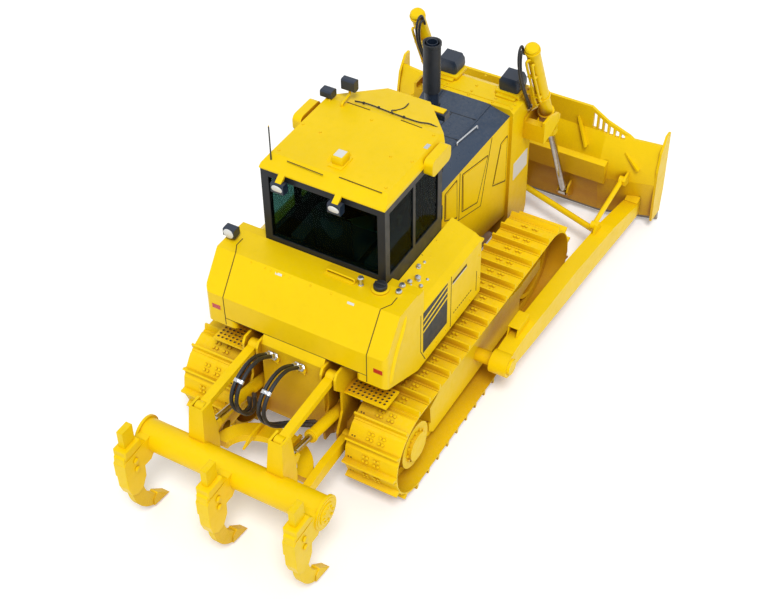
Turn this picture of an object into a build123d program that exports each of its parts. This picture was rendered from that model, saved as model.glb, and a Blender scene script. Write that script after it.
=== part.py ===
"""Crawler bulldozer with a semi-U blade, a three-shank ripper and a closed cab.

Millimetres. +X points ahead to the blade, +Y to the left, +Z up, and the ground is at zero.
Lengthwise places are told from the sprocket's centre by ahead(), so one value moves them all.
"""
import math
import os

from build123d import *

os.makedirs("parts", exist_ok=True)

# Driving dimensions of the undercarriage
SPROCKET_X = -1650.0
GAUGE = 2000.0
TRACK_ON_GROUND = 3050.0
SHOE_WIDTH = 610.0
SHOE_PITCH = 216.0
SHOE_PLATE = 14.0
SHOE_GAP = 8.0
GROUSER_HEIGHT = 65.0
GROUSER_BASE = 42.0
GROUSER_TIP = 22.0
PIN_TO_PLATE = 59.0
RAIL_DEPTH = 48.0
RAIL_WIDTH = 38.0
RAIL_GAP = 92.0
RUNNING_GAP = 0.3
END_RADIUS_AIM = 439.0

SHOES_PER_TRACK = round((2 * TRACK_ON_GROUND + 2 * math.pi * END_RADIUS_AIM) / SHOE_PITCH)
PITCH_RADIUS = (SHOES_PER_TRACK * SHOE_PITCH - 2 * TRACK_ON_GROUND) / (2 * math.pi)
AXLE_Z = PITCH_RADIUS + PIN_TO_PLATE + SHOE_PLATE + GROUSER_HEIGHT
TRACK_Y = GAUGE / 2
RAIL_INNER_RADIUS = PITCH_RADIUS - RAIL_DEPTH
PLATE_INNER_RADIUS = PITCH_RADIUS + PIN_TO_PLATE

SPROCKET_TEETH = 25
SPROCKET_TOOTH = 34.0
SPROCKET_WIDTH = 62.0
FINAL_DRIVE_RADIUS = 265.0
ROLLER_RADIUS = 98.0
ROLLER_LENGTH = 250.0
ROLLER_COUNT = 7
FIRST_ROLLER = 515.0
LAST_ROLLER = TRACK_ON_GROUND - 495.0
ROLLER_SPACING = (LAST_ROLLER - FIRST_ROLLER) / (ROLLER_COUNT - 1)
CARRIER_RADIUS = 80.0
CARRIER_PLACES = (TRACK_ON_GROUND * 0.32, TRACK_ON_GROUND * 0.675)

TRACK_FRAME_WIDTH = 300.0
TRACK_FRAME_BOTTOM = 395.0
TRACK_FRAME_TOP = 700.0
TRACK_FRAME_REAR = 470.0
IDLER_ROOM = 430.0
TRACK_FRAME_FRONT = TRACK_ON_GROUND - IDLER_ROOM
GUARD_THICKNESS = 22.0

# Chassis
CHASSIS_HALF_WIDTH = 365.0
CHASSIS_REAR = -330.0
BELLY_Z = 455.0
DECK_Z = 1650.0
RAIL_TOP_Z = 900.0
CHASSIS_FRONT = 3880.0

# Cab: a six-sided box, narrow at its front
CAB_REAR = 362.0
CAB_CORNER = 1504.0
CAB_NOSE = 2030.0
CAB_HALF_WIDTH = 700.0
CAB_NOSE_HALF_WIDTH = 235.0
CAB_WALL = 60.0
CAB_FLOOR = 50.0
CAB_SILL_Z = 2290.0
CAB_HEAD_Z = 3130.0
CAB_TOP_Z = 3215.0
GLASS_THICKNESS = 8.0
POST = 85.0
MULLION = 45.0

DOOR_GAP = 7.0
DOOR_THICKNESS = 45.0
DOOR_START = 45.0
DOOR_WIDTH = 596.0
DOOR_LOW_Z = 1800.0
DOOR_HIGH_SILL_Z = 2185.0
DOOR_STEP = 440.0
DOOR_STEP_RUN = 80.0
DOOR_FRAME = 62.0
HINGE_RADIUS = 11.0
HINGE_LENGTH = 90.0

ROOF_THICKNESS = 110.0
ROOF_REAR = 350.0
ROOF_CORNER = 1540.0
ROOF_NOSE = 2080.0
ROOF_HALF_WIDTH = 706.0
ROOF_NOSE_HALF_WIDTH = 250.0
ROOF_CREST_REAR = 500.0
ROOF_CREST_FRONT = 1540.0
ROOF_CROWN_HALF = 655.0

# Rear tank and fenders
TANK_HALF_WIDTH = 1060.0
TANK_REAR = -272.0
TANK_KINK_Z = 1935.0
TANK_SLOPE_FRONT = 10.0
TANK_TOP_Z = 2313.0
TANK_FRONT = 480.0
TANK_SIDE_BOTTOM = 1546.0
FENDER_FRONT = 1735.0
FENDER_BOTTOM = 1262.0
FENDER_INNER_TOP = 2150.0
FENDER_OUTER_TOP = 1990.0
FENDER_WALL_GAP = 5.0

# Hood and radiator guard
HOOD_REAR = 2085.0
HOOD_FRONT = 3400.0
HOOD_TOP_Z = 2400.0
HOOD_REAR_HALF = 400.0
HOOD_FRONT_HALF = 545.0
HOOD_SIDE_REAR_TOP = 2110.0
HOOD_SIDE_FRONT_TOP = 2320.0
HOOD_RIDGE_HALF = 300.0
HOOD_SIDE_THICKNESS = 40.0
RADIATOR_FRONT = 3900.0
RADIATOR_HALF = 580.0
RADIATOR_BOTTOM = 560.0
RADIATOR_TOP = 2400.0
EXHAUST_X = 3040.0
EXHAUST_Y = 255.0
EXHAUST_TOP = 3250.0
EXHAUST_RADIUS = 78.0

# Blade and its push arms: the arms clear the tracks, and the blade reaches past the arms
ARM_CLEARANCE = 50.0
ARM_WIDTH = 190.0
BLADE_PAST_ARM = 273.0
ARM_SPREAD = 110.0
ARM_Y_REAR = (GAUGE + SHOE_WIDTH + ARM_WIDTH) / 2 + ARM_CLEARANCE
ARM_Y_FRONT = ARM_Y_REAR + ARM_SPREAD
BLADE_WIDTH = 2 * (ARM_Y_REAR + ARM_WIDTH / 2 + BLADE_PAST_ARM)
BLADE_BOTTOM = 18.0
BLADE_TOP = 1580.0
BLADE_EDGE_X = 5050.0
BLADE_BREAK_Y = 1120.0
BLADE_WING_ADVANCE = 190.0
EDGE_HEIGHT = 122.0
EDGE_THICKNESS = 28.0
GUARD_START_Y = 900.0
GUARD_END_Y = 1450.0
GUARD_END_Z = 1245.0
GUARD_SLOTS = 7
WING_TOP_OUTER = 1215.0
TRUNNION_X = 1557.0
TRUNNION_Z = 500.0
TRUNNION_RADIUS = 78.0
LIFT_Y = 705.0
LIFT_EYE_X = 4775.0
LIFT_EYE_Z = 370.0
LIFT_YOKE_X = 4060.0
LIFT_YOKE_Z = 1975.0
LIFT_TUBE_RADIUS = 78.0
LIFT_ROD_RADIUS = 42.0
LIFT_TUBE_ABOVE = 1345.0
LIFT_TUBE_BELOW = 335.0
LIFT_ROD_LENGTH = 1945.0

# Ripper: a parallel linkage behind the chassis
RIPPER_FRONT_X = -310.0
RIPPER_LOW_PIN_Z = 670.0
RIPPER_HIGH_PIN_Z = 1480.0
RIPPER_REACH = 960.0
RIPPER_DROP = 40.0
RIPPER_PIN = 38.0
PIN_CLEARANCE = 0.3
PIN_PLAY = 0.08
RIPPER_BEAM_X = -1455.0
RIPPER_BEAM_Z = 950.0
RIPPER_BEAM_RADIUS = 160.0
RIPPER_BEAM_HALF = 1075.0
RIPPER_LINK_Y = 460.0
SHANK_PITCH = 985.0
SHANK_THICKNESS = 72.0
SHANK_BOTTOM = 20.0
RIPPER_CYLINDER_X = -100.0
RIPPER_CYLINDER_Z = 880.0
RIPPER_EYE_X = -1085.0
RIPPER_EYE_Z = 1100.0
RIPPER_TUBE_RADIUS = 62.0
RIPPER_ROD_RADIUS = 34.0


def ahead(distance):
    """X of a place that lies this far ahead of the sprocket's centre."""
    return SPROCKET_X + distance


def upright(y):
    """Plane across the machine at this Y: sketch X is ahead, sketch Y is up."""
    return Plane.XZ.offset(-y)


def across(distance):
    """Plane square to the travel at this place: sketch X is to the left, sketch Y is up."""
    return Plane(origin=(ahead(distance), 0, 0), x_dir=(0, 1, 0), z_dir=(1, 0, 0))


def keep(builder, name):
    """Label a finished piece and write it to its own file."""
    builder.part.label = name
    export_step(builder.part, f"parts/{name}.step")


SIDES = (("left", 1), ("right", -1))


# Track: shoes, grousers and the two rails of its links
def loop_frame(along):
    """Place, direction and outward normal on the pitch line, from below the sprocket."""
    run = TRACK_ON_GROUND
    turn = math.pi * PITCH_RADIUS
    rear_x = ahead(0)
    front_x = ahead(TRACK_ON_GROUND)
    if along < run:
        return (rear_x + along, AXLE_Z - PITCH_RADIUS), (1, 0), (0, -1)
    if along < run + turn:
        angle = (along - run) / PITCH_RADIUS - math.pi / 2
        centre_x = front_x
    elif along < 2 * run + turn:
        return (front_x - (along - run - turn), AXLE_Z + PITCH_RADIUS), (-1, 0), (0, 1)
    else:
        angle = (along - 2 * run - turn) / PITCH_RADIUS + math.pi / 2
        centre_x = rear_x
    normal = (math.cos(angle), math.sin(angle))
    place = (centre_x + PITCH_RADIUS * normal[0], AXLE_Z + PITCH_RADIUS * normal[1])
    return place, (-normal[1], normal[0]), normal


def shoe_outline(along):
    """Outer corners of one shoe, whose grouser stands near its trailing edge."""
    place, direction, normal = loop_frame(along)
    half = (SHOE_PITCH - SHOE_GAP) / 2
    plate = PIN_TO_PLATE + SHOE_PLATE
    tip = plate + GROUSER_HEIGHT
    slope = (GROUSER_BASE - GROUSER_TIP) / 2
    end = half - GROUSER_BASE / 2
    corners = (
        (-half, plate),
        (end - GROUSER_BASE, plate),
        (end - GROUSER_BASE + slope, tip),
        (end - slope, tip),
        (end, plate),
        (half, plate),
        (half + SHOE_GAP / 2, PIN_TO_PLATE + 2),
    )
    return [
        (place[0] + t * direction[0] + n * normal[0], place[1] + t * direction[1] + n * normal[1])
        for t, n in corners
    ]


def track_loop(side):
    """One closed track: its shoes in one outline and two rails inside them."""
    points = []
    for shoe in range(SHOES_PER_TRACK):
        points += shoe_outline((shoe + 0.5) * SHOE_PITCH)
    middle = (ahead(TRACK_ON_GROUND / 2), AXLE_Z)
    with BuildPart() as loop:
        with BuildSketch(upright(side * TRACK_Y)):
            with BuildLine():
                Polyline(*points, close=True)
            make_face()
            with Locations(middle):
                SlotCenterToCenter(TRACK_ON_GROUND, 2 * PLATE_INNER_RADIUS, mode=Mode.SUBTRACT)
        extrude(amount=SHOE_WIDTH / 2, both=True)
        for rail in (1, -1):
            with BuildSketch(upright(side * TRACK_Y + rail * (RAIL_GAP + RAIL_WIDTH) / 2)):
                with Locations(middle):
                    SlotCenterToCenter(TRACK_ON_GROUND, 2 * PLATE_INNER_RADIUS + 2)
                    SlotCenterToCenter(TRACK_ON_GROUND, 2 * RAIL_INNER_RADIUS, mode=Mode.SUBTRACT)
            extrude(amount=RAIL_WIDTH / 2, both=True)
    return loop


for name, side in SIDES:
    loop = track_loop(side)
    keep(loop, f"track_{name}")


# Sprocket: a toothed ring between the rails on a hub that the final drive carries
def tooth_ring():
    """Outline of the sprocket's teeth, as a closed list of corners."""
    corners = []
    step = 2 * math.pi / SPROCKET_TEETH
    root = RAIL_INNER_RADIUS + RAIL_DEPTH * 0.35
    for tooth in range(SPROCKET_TEETH):
        for share, radius in ((-0.32, root), (-0.12, root + SPROCKET_TOOTH), (0.12, root + SPROCKET_TOOTH), (0.32, root)):
            angle = (tooth + share) * step
            corners.append((ahead(0) + radius * math.cos(angle), AXLE_Z + radius * math.sin(angle)))
    return corners


HUB_OUTER_Y = 232.0
with BuildPart() as sprockets:
    for side in (1, -1):
        with BuildSketch(upright(side * TRACK_Y)):
            with BuildLine():
                Polyline(*tooth_ring(), close=True)
            make_face()
        extrude(amount=SPROCKET_WIDTH / 2, both=True)
        with BuildSketch(upright(side * (TRACK_Y + HUB_OUTER_Y / 2))):
            with Locations((ahead(0), AXLE_Z)):
                Circle(FINAL_DRIVE_RADIUS)
        extrude(amount=HUB_OUTER_Y / 2, both=True)
        with BuildSketch(upright(side * (TRACK_Y + HUB_OUTER_Y + 20))):
            with Locations((ahead(0), AXLE_Z)):
                Circle(FINAL_DRIVE_RADIUS * 0.62)
        extrude(amount=22, both=True)
keep(sprockets, "sprockets")


# Idler wheel: a rim under the rails, a flange between them and a recessed web
IDLER_WEB = 60.0
IDLER_RIM = 58.0
with BuildPart() as idlers:
    for side in (1, -1):
        rim = RAIL_INNER_RADIUS - RUNNING_GAP
        profile = (
            (0, -90), (110, -90), (110, -IDLER_WEB / 2), (rim - IDLER_RIM, -IDLER_WEB / 2),
            (rim - IDLER_RIM, -84), (rim, -84), (rim, -40), (rim + 30, -36),
            (rim + 30, 36), (rim, 40), (rim, 84), (rim - IDLER_RIM, 84),
            (rim - IDLER_RIM, IDLER_WEB / 2), (110, IDLER_WEB / 2), (110, 90), (0, 90),
        )
        with BuildSketch(Plane(origin=(ahead(TRACK_ON_GROUND), side * TRACK_Y, AXLE_Z), x_dir=(1, 0, 0), z_dir=(0, 0, 1))):
            with BuildLine():
                Polyline(*profile, close=True)
            make_face()
        revolve(axis=Axis((ahead(TRACK_ON_GROUND), side * TRACK_Y, AXLE_Z), (0, 1, 0)))
keep(idlers, "idlers")


# Rollers: seven below and two that carry the upper run
LOW_ROLLER_Z = AXLE_Z - RAIL_INNER_RADIUS + ROLLER_RADIUS + RUNNING_GAP
CARRIER_Z = AXLE_Z + RAIL_INNER_RADIUS - CARRIER_RADIUS - RUNNING_GAP
with BuildPart() as rollers:
    for side in (1, -1):
        with BuildSketch(upright(side * TRACK_Y)):
            with Locations(*[(ahead(FIRST_ROLLER + i * ROLLER_SPACING), LOW_ROLLER_Z) for i in range(ROLLER_COUNT)]):
                Circle(ROLLER_RADIUS)
            with Locations(*[(ahead(place), CARRIER_Z) for place in CARRIER_PLACES]):
                Circle(CARRIER_RADIUS)
        extrude(amount=ROLLER_LENGTH / 2, both=True)
keep(rollers, "rollers")


# Track frame: a box girder with roller guards, an idler fork, carrier posts and the trunnion
GUARD_LOW_Z = 205.0
GUARD_Y = ROLLER_LENGTH / 2 + GUARD_THICKNESS / 2 + 1
FORK_INNER = 96.0
FORK_THICKNESS = 46.0
CARRIER_POST = 44.0
with BuildPart() as track_frames:
    for side in (1, -1):
        with BuildSketch(upright(side * TRACK_Y)):
            with BuildLine():
                Polyline(
                    (ahead(TRACK_FRAME_REAR + 20), TRACK_FRAME_BOTTOM),
                    (ahead(TRACK_FRAME_FRONT), TRACK_FRAME_BOTTOM),
                    (ahead(TRACK_FRAME_FRONT), TRACK_FRAME_TOP - 60),
                    (ahead(TRACK_FRAME_FRONT - 260), TRACK_FRAME_TOP),
                    (ahead(TRACK_FRAME_REAR + 260), TRACK_FRAME_TOP + 40),
                    (ahead(TRACK_FRAME_REAR), TRACK_FRAME_TOP - 60),
                    close=True,
                )
            make_face()
        extrude(amount=TRACK_FRAME_WIDTH / 2, both=True)
        for hand in (1, -1):
            with BuildSketch(upright(side * TRACK_Y + hand * GUARD_Y)):
                with BuildLine():
                    Polyline(
                        (ahead(FIRST_ROLLER - 60), GUARD_LOW_Z + 90),
                        (ahead(FIRST_ROLLER + 30), GUARD_LOW_Z),
                        (ahead(FIRST_ROLLER + (ROLLER_COUNT - 1) * ROLLER_SPACING - 30), GUARD_LOW_Z),
                        (ahead(FIRST_ROLLER + (ROLLER_COUNT - 1) * ROLLER_SPACING + 60), GUARD_LOW_Z + 90),
                        (ahead(FIRST_ROLLER + (ROLLER_COUNT - 1) * ROLLER_SPACING + 60), TRACK_FRAME_BOTTOM + 10),
                        (ahead(FIRST_ROLLER - 60), TRACK_FRAME_BOTTOM + 10),
                        close=True,
                    )
                make_face()
            extrude(amount=GUARD_THICKNESS / 2, both=True)
            with BuildSketch(upright(side * TRACK_Y + hand * (FORK_INNER + FORK_THICKNESS / 2))):
                with BuildLine():
                    Polyline(
                        (ahead(TRACK_FRAME_FRONT - 40), AXLE_Z - 120),
                        (ahead(TRACK_ON_GROUND + 110), AXLE_Z - 75),
                        (ahead(TRACK_ON_GROUND + 110), AXLE_Z + 75),
                        (ahead(TRACK_FRAME_FRONT - 40), AXLE_Z + 60),
                        close=True,
                    )
                make_face()
            extrude(amount=FORK_THICKNESS / 2, both=True)
        for place in CARRIER_PLACES:
            with BuildSketch(upright(side * (TRACK_Y - ROLLER_LENGTH / 2 - CARRIER_POST / 2))):
                with Locations((ahead(place), (TRACK_FRAME_TOP + CARRIER_Z) / 2)):
                    Rectangle(110, CARRIER_Z - TRACK_FRAME_TOP + 60)
            extrude(amount=CARRIER_POST / 2, both=True)
        with BuildSketch(upright(side * (TRACK_Y + TRACK_FRAME_WIDTH / 2))):
            with Locations((ahead(TRUNNION_X), TRUNNION_Z)):
                Circle(TRUNNION_RADIUS)
        extrude(amount=-side * (ARM_Y_REAR - TRACK_Y - TRACK_FRAME_WIDTH / 2 + ARM_WIDTH / 2 - 40))
keep(track_frames, "track_frames")


# Chassis: the welded frame from the rear plate to the nose, with the axle cases and the belly guard
AXLE_CASE_RADIUS = 290.0
AXLE_CASE_LENGTH = 265.0
AXLE_TUBE_RADIUS = 200.0
PIVOT_X = 760.0
PIVOT_RADIUS = 85.0
EQUALIZER_X = 2330.0
with BuildPart() as chassis:
    with BuildSketch(Plane.XZ):
        with BuildLine():
            Polyline(
                (ahead(CHASSIS_REAR), BELLY_Z + 130),
                (ahead(CHASSIS_REAR + 160), BELLY_Z),
                (ahead(CHASSIS_FRONT - 420), BELLY_Z),
                (ahead(CHASSIS_FRONT - 120), RADIATOR_BOTTOM - 20),
                (ahead(CHASSIS_FRONT - 120), RADIATOR_BOTTOM),
                (ahead(HOOD_FRONT), RADIATOR_BOTTOM),
                (ahead(HOOD_FRONT), RAIL_TOP_Z),
                (ahead(HOOD_REAR), RAIL_TOP_Z),
                (ahead(HOOD_REAR), DECK_Z - 250),
                (ahead(CAB_NOSE), DECK_Z),
                (ahead(CHASSIS_REAR + 60), DECK_Z),
                (ahead(CHASSIS_REAR), DECK_Z - 90),
                close=True,
            )
        make_face()
    extrude(amount=CHASSIS_HALF_WIDTH, both=True)
    for name, side in SIDES:
        with BuildSketch(upright(side * (TRACK_Y - SPROCKET_WIDTH / 2))):
            with Locations((ahead(0), AXLE_Z)):
                Circle(AXLE_CASE_RADIUS)
        extrude(amount=side * AXLE_CASE_LENGTH)
        with BuildSketch(upright(side * (TRACK_Y - SPROCKET_WIDTH / 2))):
            with Locations((ahead(0), AXLE_Z)):
                Circle(AXLE_TUBE_RADIUS)
        extrude(amount=side * (TRACK_Y - SPROCKET_WIDTH / 2 - CHASSIS_HALF_WIDTH + 10))
        with BuildSketch(upright(side * (TRACK_Y - TRACK_FRAME_WIDTH / 2))):
            with Locations((ahead(PIVOT_X), AXLE_Z - 40)):
                Circle(PIVOT_RADIUS)
        extrude(amount=side * (TRACK_Y - TRACK_FRAME_WIDTH / 2 - CHASSIS_HALF_WIDTH + 10))
        with BuildSketch(upright(side * (TRACK_Y - TRACK_FRAME_WIDTH / 2))):
            with Locations((ahead(EQUALIZER_X), (TRACK_FRAME_BOTTOM + TRACK_FRAME_TOP) / 2)):
                Rectangle(210, 130)
        extrude(amount=side * (TRACK_Y - TRACK_FRAME_WIDTH / 2 - CHASSIS_HALF_WIDTH + 10))
keep(chassis, "chassis")

# Engine: one block at its real place on the frame rails
ENGINE_LENGTH = 1080.0
ENGINE_HEIGHT = 950.0
with BuildPart() as engine:
    with BuildSketch(Plane.XY.offset(RAIL_TOP_Z)):
        with Locations((ahead((HOOD_REAR + HOOD_FRONT) / 2), 0)):
            Rectangle(ENGINE_LENGTH, 620)
    extrude(amount=ENGINE_HEIGHT)
keep(engine, "engine_block")


# Hood: dark top with sloping shoulders, and a side panel each way that widens ahead
def hood_section(distance, half, side_top):
    """Section of the hood top across the machine: flat crown, sloping shoulders."""
    with BuildSketch(across(distance)) as section:
        with BuildLine():
            Polyline(
                (-half, side_top),
                (half, side_top),
                (HOOD_RIDGE_HALF + 20, HOOD_TOP_Z - 18),
                (HOOD_RIDGE_HALF - 60, HOOD_TOP_Z),
                (-HOOD_RIDGE_HALF + 60, HOOD_TOP_Z),
                (-HOOD_RIDGE_HALF - 20, HOOD_TOP_Z - 18),
                close=True,
            )
        make_face()
    return section.sketch


with BuildPart() as hood_top:
    loft([
        hood_section(HOOD_REAR, HOOD_REAR_HALF, HOOD_SIDE_REAR_TOP),
        hood_section(HOOD_FRONT, HOOD_FRONT_HALF, HOOD_SIDE_FRONT_TOP),
    ], ruled=True)
keep(hood_top, "hood_top")

with BuildPart() as hood_sides:
    for side in (1, -1):
        with BuildSketch(Plane.XY.offset(RAIL_TOP_Z)):
            with BuildLine():
                Polyline(
                    (ahead(HOOD_REAR), side * HOOD_REAR_HALF),
                    (ahead(HOOD_FRONT), side * HOOD_FRONT_HALF),
                    (ahead(HOOD_FRONT), side * (HOOD_FRONT_HALF - HOOD_SIDE_THICKNESS)),
                    (ahead(HOOD_REAR), side * (HOOD_REAR_HALF - HOOD_SIDE_THICKNESS)),
                    close=True,
                )
            make_face()
        extrude(amount=HOOD_TOP_Z - RAIL_TOP_Z)
        with BuildSketch(Plane.XZ):
            with BuildLine():
                Polyline(
                    (ahead(HOOD_REAR), RAIL_TOP_Z),
                    (ahead(HOOD_FRONT), RAIL_TOP_Z),
                    (ahead(HOOD_FRONT), HOOD_SIDE_FRONT_TOP),
                    (ahead(HOOD_REAR), HOOD_SIDE_REAR_TOP),
                    close=True,
                )
            make_face()
        extrude(amount=RADIATOR_HALF * 2, both=True, mode=Mode.INTERSECT)
keep(hood_sides, "hood_sides")

# Radiator guard: the strong nose box with its barred grille
GRILLE_BARS = 11
GRILLE_HALF = 430.0
GRILLE_BOTTOM = 900.0
GRILLE_TOP = 2230.0
GRILLE_DEPTH = 60.0
with BuildPart() as radiator_guard:
    with BuildSketch(Plane.XZ):
        with BuildLine():
            Polyline(
                (ahead(HOOD_FRONT), RADIATOR_BOTTOM),
                (ahead(RADIATOR_FRONT - 60), RADIATOR_BOTTOM),
                (ahead(RADIATOR_FRONT), RADIATOR_BOTTOM + 160),
                (ahead(RADIATOR_FRONT), RADIATOR_TOP - 230),
                (ahead(RADIATOR_FRONT - 70), RADIATOR_TOP - 40),
                (ahead(RADIATOR_FRONT - 160), RADIATOR_TOP),
                (ahead(HOOD_FRONT), RADIATOR_TOP),
                close=True,
            )
        make_face()
    extrude(amount=RADIATOR_HALF, both=True)
    top_edges = radiator_guard.edges().filter_by(Axis.X).group_by(Axis.Z)[-1]
    chamfer(top_edges, 45)
    with BuildSketch(across(RADIATOR_FRONT)):
        with Locations((0, (GRILLE_BOTTOM + GRILLE_TOP) / 2 - 60)):
            Rectangle(2 * GRILLE_HALF, GRILLE_TOP - GRILLE_BOTTOM - 120)
    extrude(amount=-GRILLE_DEPTH, mode=Mode.SUBTRACT)
    bar_step = (GRILLE_TOP - GRILLE_BOTTOM - 120) / GRILLE_BARS
    with BuildSketch(across(RADIATOR_FRONT - GRILLE_DEPTH)):
        with Locations(*[(0, GRILLE_BOTTOM + bar_step * (bar + 0.5)) for bar in range(GRILLE_BARS)]):
            Rectangle(2 * GRILLE_HALF, bar_step * 0.45)
    extrude(amount=GRILLE_DEPTH * 0.8)
keep(radiator_guard, "radiator_guard")

# Exhaust stack on the hood: a straight pipe with a wider muffler and a curved mouth
with BuildPart() as exhaust:
    with BuildSketch(Plane.XY.offset(HOOD_TOP_Z)):
        with Locations((ahead(EXHAUST_X), EXHAUST_Y)):
            Circle(EXHAUST_RADIUS)
    extrude(amount=EXHAUST_TOP - HOOD_TOP_Z - 160)
    with BuildSketch(Plane.XY.offset(EXHAUST_TOP - 160)):
        with Locations((ahead(EXHAUST_X), EXHAUST_Y)):
            Circle(EXHAUST_RADIUS * 0.8)
            Circle(EXHAUST_RADIUS * 0.8 - 6, mode=Mode.SUBTRACT)
    extrude(amount=160)
keep(exhaust, "exhaust_stack")

# Head lamps: two rounded housings on bases at the nose
LAMP_Y = 391.0
LAMP_X = 3800.0
with BuildPart() as head_lamps:
    for side in (1, -1):
        with BuildSketch(Plane.XY.offset(RADIATOR_TOP)):
            with Locations((ahead(LAMP_X - 70), side * LAMP_Y)):
                Rectangle(120, 130)
        extrude(amount=60)
        with BuildSketch(upright(side * LAMP_Y)):
            with Locations((ahead(LAMP_X - 40), RADIATOR_TOP + 60 + 75)):
                RectangleRounded(200, 150, 40)
        extrude(amount=95, both=True)
keep(head_lamps, "head_lamps")

# Rear tank: sloped upper face, upright lower face, rounded corners
TANK_CORNER = 130.0
with BuildPart() as rear_tank:
    with BuildSketch(Plane.XZ):
        with BuildLine():
            Polyline(
                (ahead(TANK_REAR), DECK_Z),
                (ahead(TANK_REAR), TANK_KINK_Z),
                (ahead(TANK_SLOPE_FRONT), TANK_TOP_Z),
                (ahead(CAB_REAR - FENDER_WALL_GAP), TANK_TOP_Z),
                (ahead(CAB_REAR - FENDER_WALL_GAP), DECK_Z),
                close=True,
            )
        make_face()
    extrude(amount=TANK_HALF_WIDTH, both=True)
    for name, side in SIDES:
        with BuildSketch(upright(side * TANK_HALF_WIDTH)):
            with BuildLine():
                Polyline(
                    (ahead(TANK_REAR), TANK_SIDE_BOTTOM),
                    (ahead(TANK_REAR), TANK_KINK_Z),
                    (ahead(TANK_SLOPE_FRONT), TANK_TOP_Z),
                    (ahead(TANK_FRONT), TANK_TOP_Z - 30),
                    (ahead(TANK_FRONT), FENDER_BOTTOM),
                    (ahead(CAB_REAR), FENDER_BOTTOM),
                    close=True,
                )
            make_face()
        extrude(amount=side * (TANK_HALF_WIDTH - CAB_HALF_WIDTH - FENDER_WALL_GAP))
    rear_corners = rear_tank.edges().filter_by(Axis.Z).group_by(Axis.X)[0]
    fillet(rear_corners, 60)
keep(rear_tank, "rear_tank")

# Side boxes between tank and steps, with a top that slopes outward
with BuildPart() as fenders:
    for side in (1, -1):
        with BuildSketch(across(TANK_FRONT)):
            with BuildLine():
                Polyline(
                    (side * (CAB_HALF_WIDTH + FENDER_WALL_GAP), FENDER_BOTTOM),
                    (side * TANK_HALF_WIDTH, FENDER_BOTTOM),
                    (side * TANK_HALF_WIDTH, FENDER_OUTER_TOP),
                    (side * (TANK_HALF_WIDTH - 70), FENDER_OUTER_TOP + 60),
                    (side * (CAB_HALF_WIDTH + FENDER_WALL_GAP), FENDER_INNER_TOP),
                    close=True,
                )
            make_face()
        extrude(amount=FENDER_FRONT - TANK_FRONT)
keep(fenders, "fenders")


# Cab: floor, walls with their window openings, glass, roof, seat and consoles
def cab_outline(margin):
    """Corners of the six-sided cab in plan, moved out by the margin."""
    return (
        (ahead(CAB_REAR - margin), -CAB_HALF_WIDTH - margin),
        (ahead(CAB_CORNER), -CAB_HALF_WIDTH - margin),
        (ahead(CAB_NOSE + margin), -CAB_NOSE_HALF_WIDTH - margin),
        (ahead(CAB_NOSE + margin), CAB_NOSE_HALF_WIDTH + margin),
        (ahead(CAB_CORNER), CAB_HALF_WIDTH + margin),
        (ahead(CAB_REAR - margin), CAB_HALF_WIDTH + margin),
    )


SLANT_RUN = CAB_NOSE - CAB_CORNER
SLANT_RISE = CAB_HALF_WIDTH - CAB_NOSE_HALF_WIDTH
SLANT_LENGTH = math.hypot(SLANT_RUN, SLANT_RISE)
SLANT_ALONG = SLANT_RUN / SLANT_LENGTH
SLANT_INWARD = SLANT_RISE / SLANT_LENGTH


def slant_plane(lift=0.0):
    """Plane of the right slanting wall: sketch X runs from its rear corner, sketch Y is up."""
    return Plane(
        origin=(
            ahead(CAB_CORNER) + SLANT_INWARD * lift,
            -CAB_HALF_WIDTH - SLANT_ALONG * lift,
            0,
        ),
        x_dir=(SLANT_ALONG, SLANT_INWARD, 0),
        z_dir=(SLANT_INWARD, -SLANT_ALONG, 0),
    )


def door_outline(gap=0.0):
    """Door in its plane, with the step in its lower edge that clears the side box."""
    start = DOOR_START - gap
    end = DOOR_START + DOOR_WIDTH + gap
    step = DOOR_START + DOOR_STEP - gap
    return (
        (start, DOOR_HIGH_SILL_Z - gap),
        (step, DOOR_HIGH_SILL_Z - gap),
        (step + DOOR_STEP_RUN, DOOR_LOW_Z - gap),
        (end, DOOR_LOW_Z - gap),
        (end, CAB_HEAD_Z + gap),
        (start, CAB_HEAD_Z + gap),
    )


def door_glass_outline(margin):
    """Window of the door, in by the margin from the door's edge."""
    return (
        (DOOR_START + margin, DOOR_HIGH_SILL_Z + margin),
        (DOOR_START + DOOR_STEP + margin * 0.35, DOOR_HIGH_SILL_Z + margin),
        (DOOR_START + DOOR_STEP + margin * 0.35 + 30, DOOR_HIGH_SILL_Z - 120),
        (DOOR_START + DOOR_WIDTH - margin, DOOR_HIGH_SILL_Z - 120),
        (DOOR_START + DOOR_WIDTH - margin, CAB_HEAD_Z - margin),
        (DOOR_START + margin, CAB_HEAD_Z - margin),
    )


HINGE_LIFT = HINGE_RADIUS + 1
HINGE_PLACES = (DOOR_HIGH_SILL_Z + 110, CAB_HEAD_Z - 190)
HINGE_PIN = 5.0
HINGE_KNUCKLE = 40.0
HINGE_PLAY = 0.5
LEAF_WIDTH = 42.0
LEAF_THICKNESS = 7.0


def hinge_spot(low):
    """Plane at a hinge barrel's lower end, centred on the right door's hinge line."""
    x = ahead(CAB_CORNER) + SLANT_ALONG * DOOR_START + SLANT_INWARD * HINGE_LIFT
    y = -CAB_HALF_WIDTH + SLANT_INWARD * DOOR_START - SLANT_ALONG * HINGE_LIFT
    return Plane(origin=(x, y, low), x_dir=(SLANT_ALONG, SLANT_INWARD, 0), z_dir=(0, 0, 1))


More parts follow.
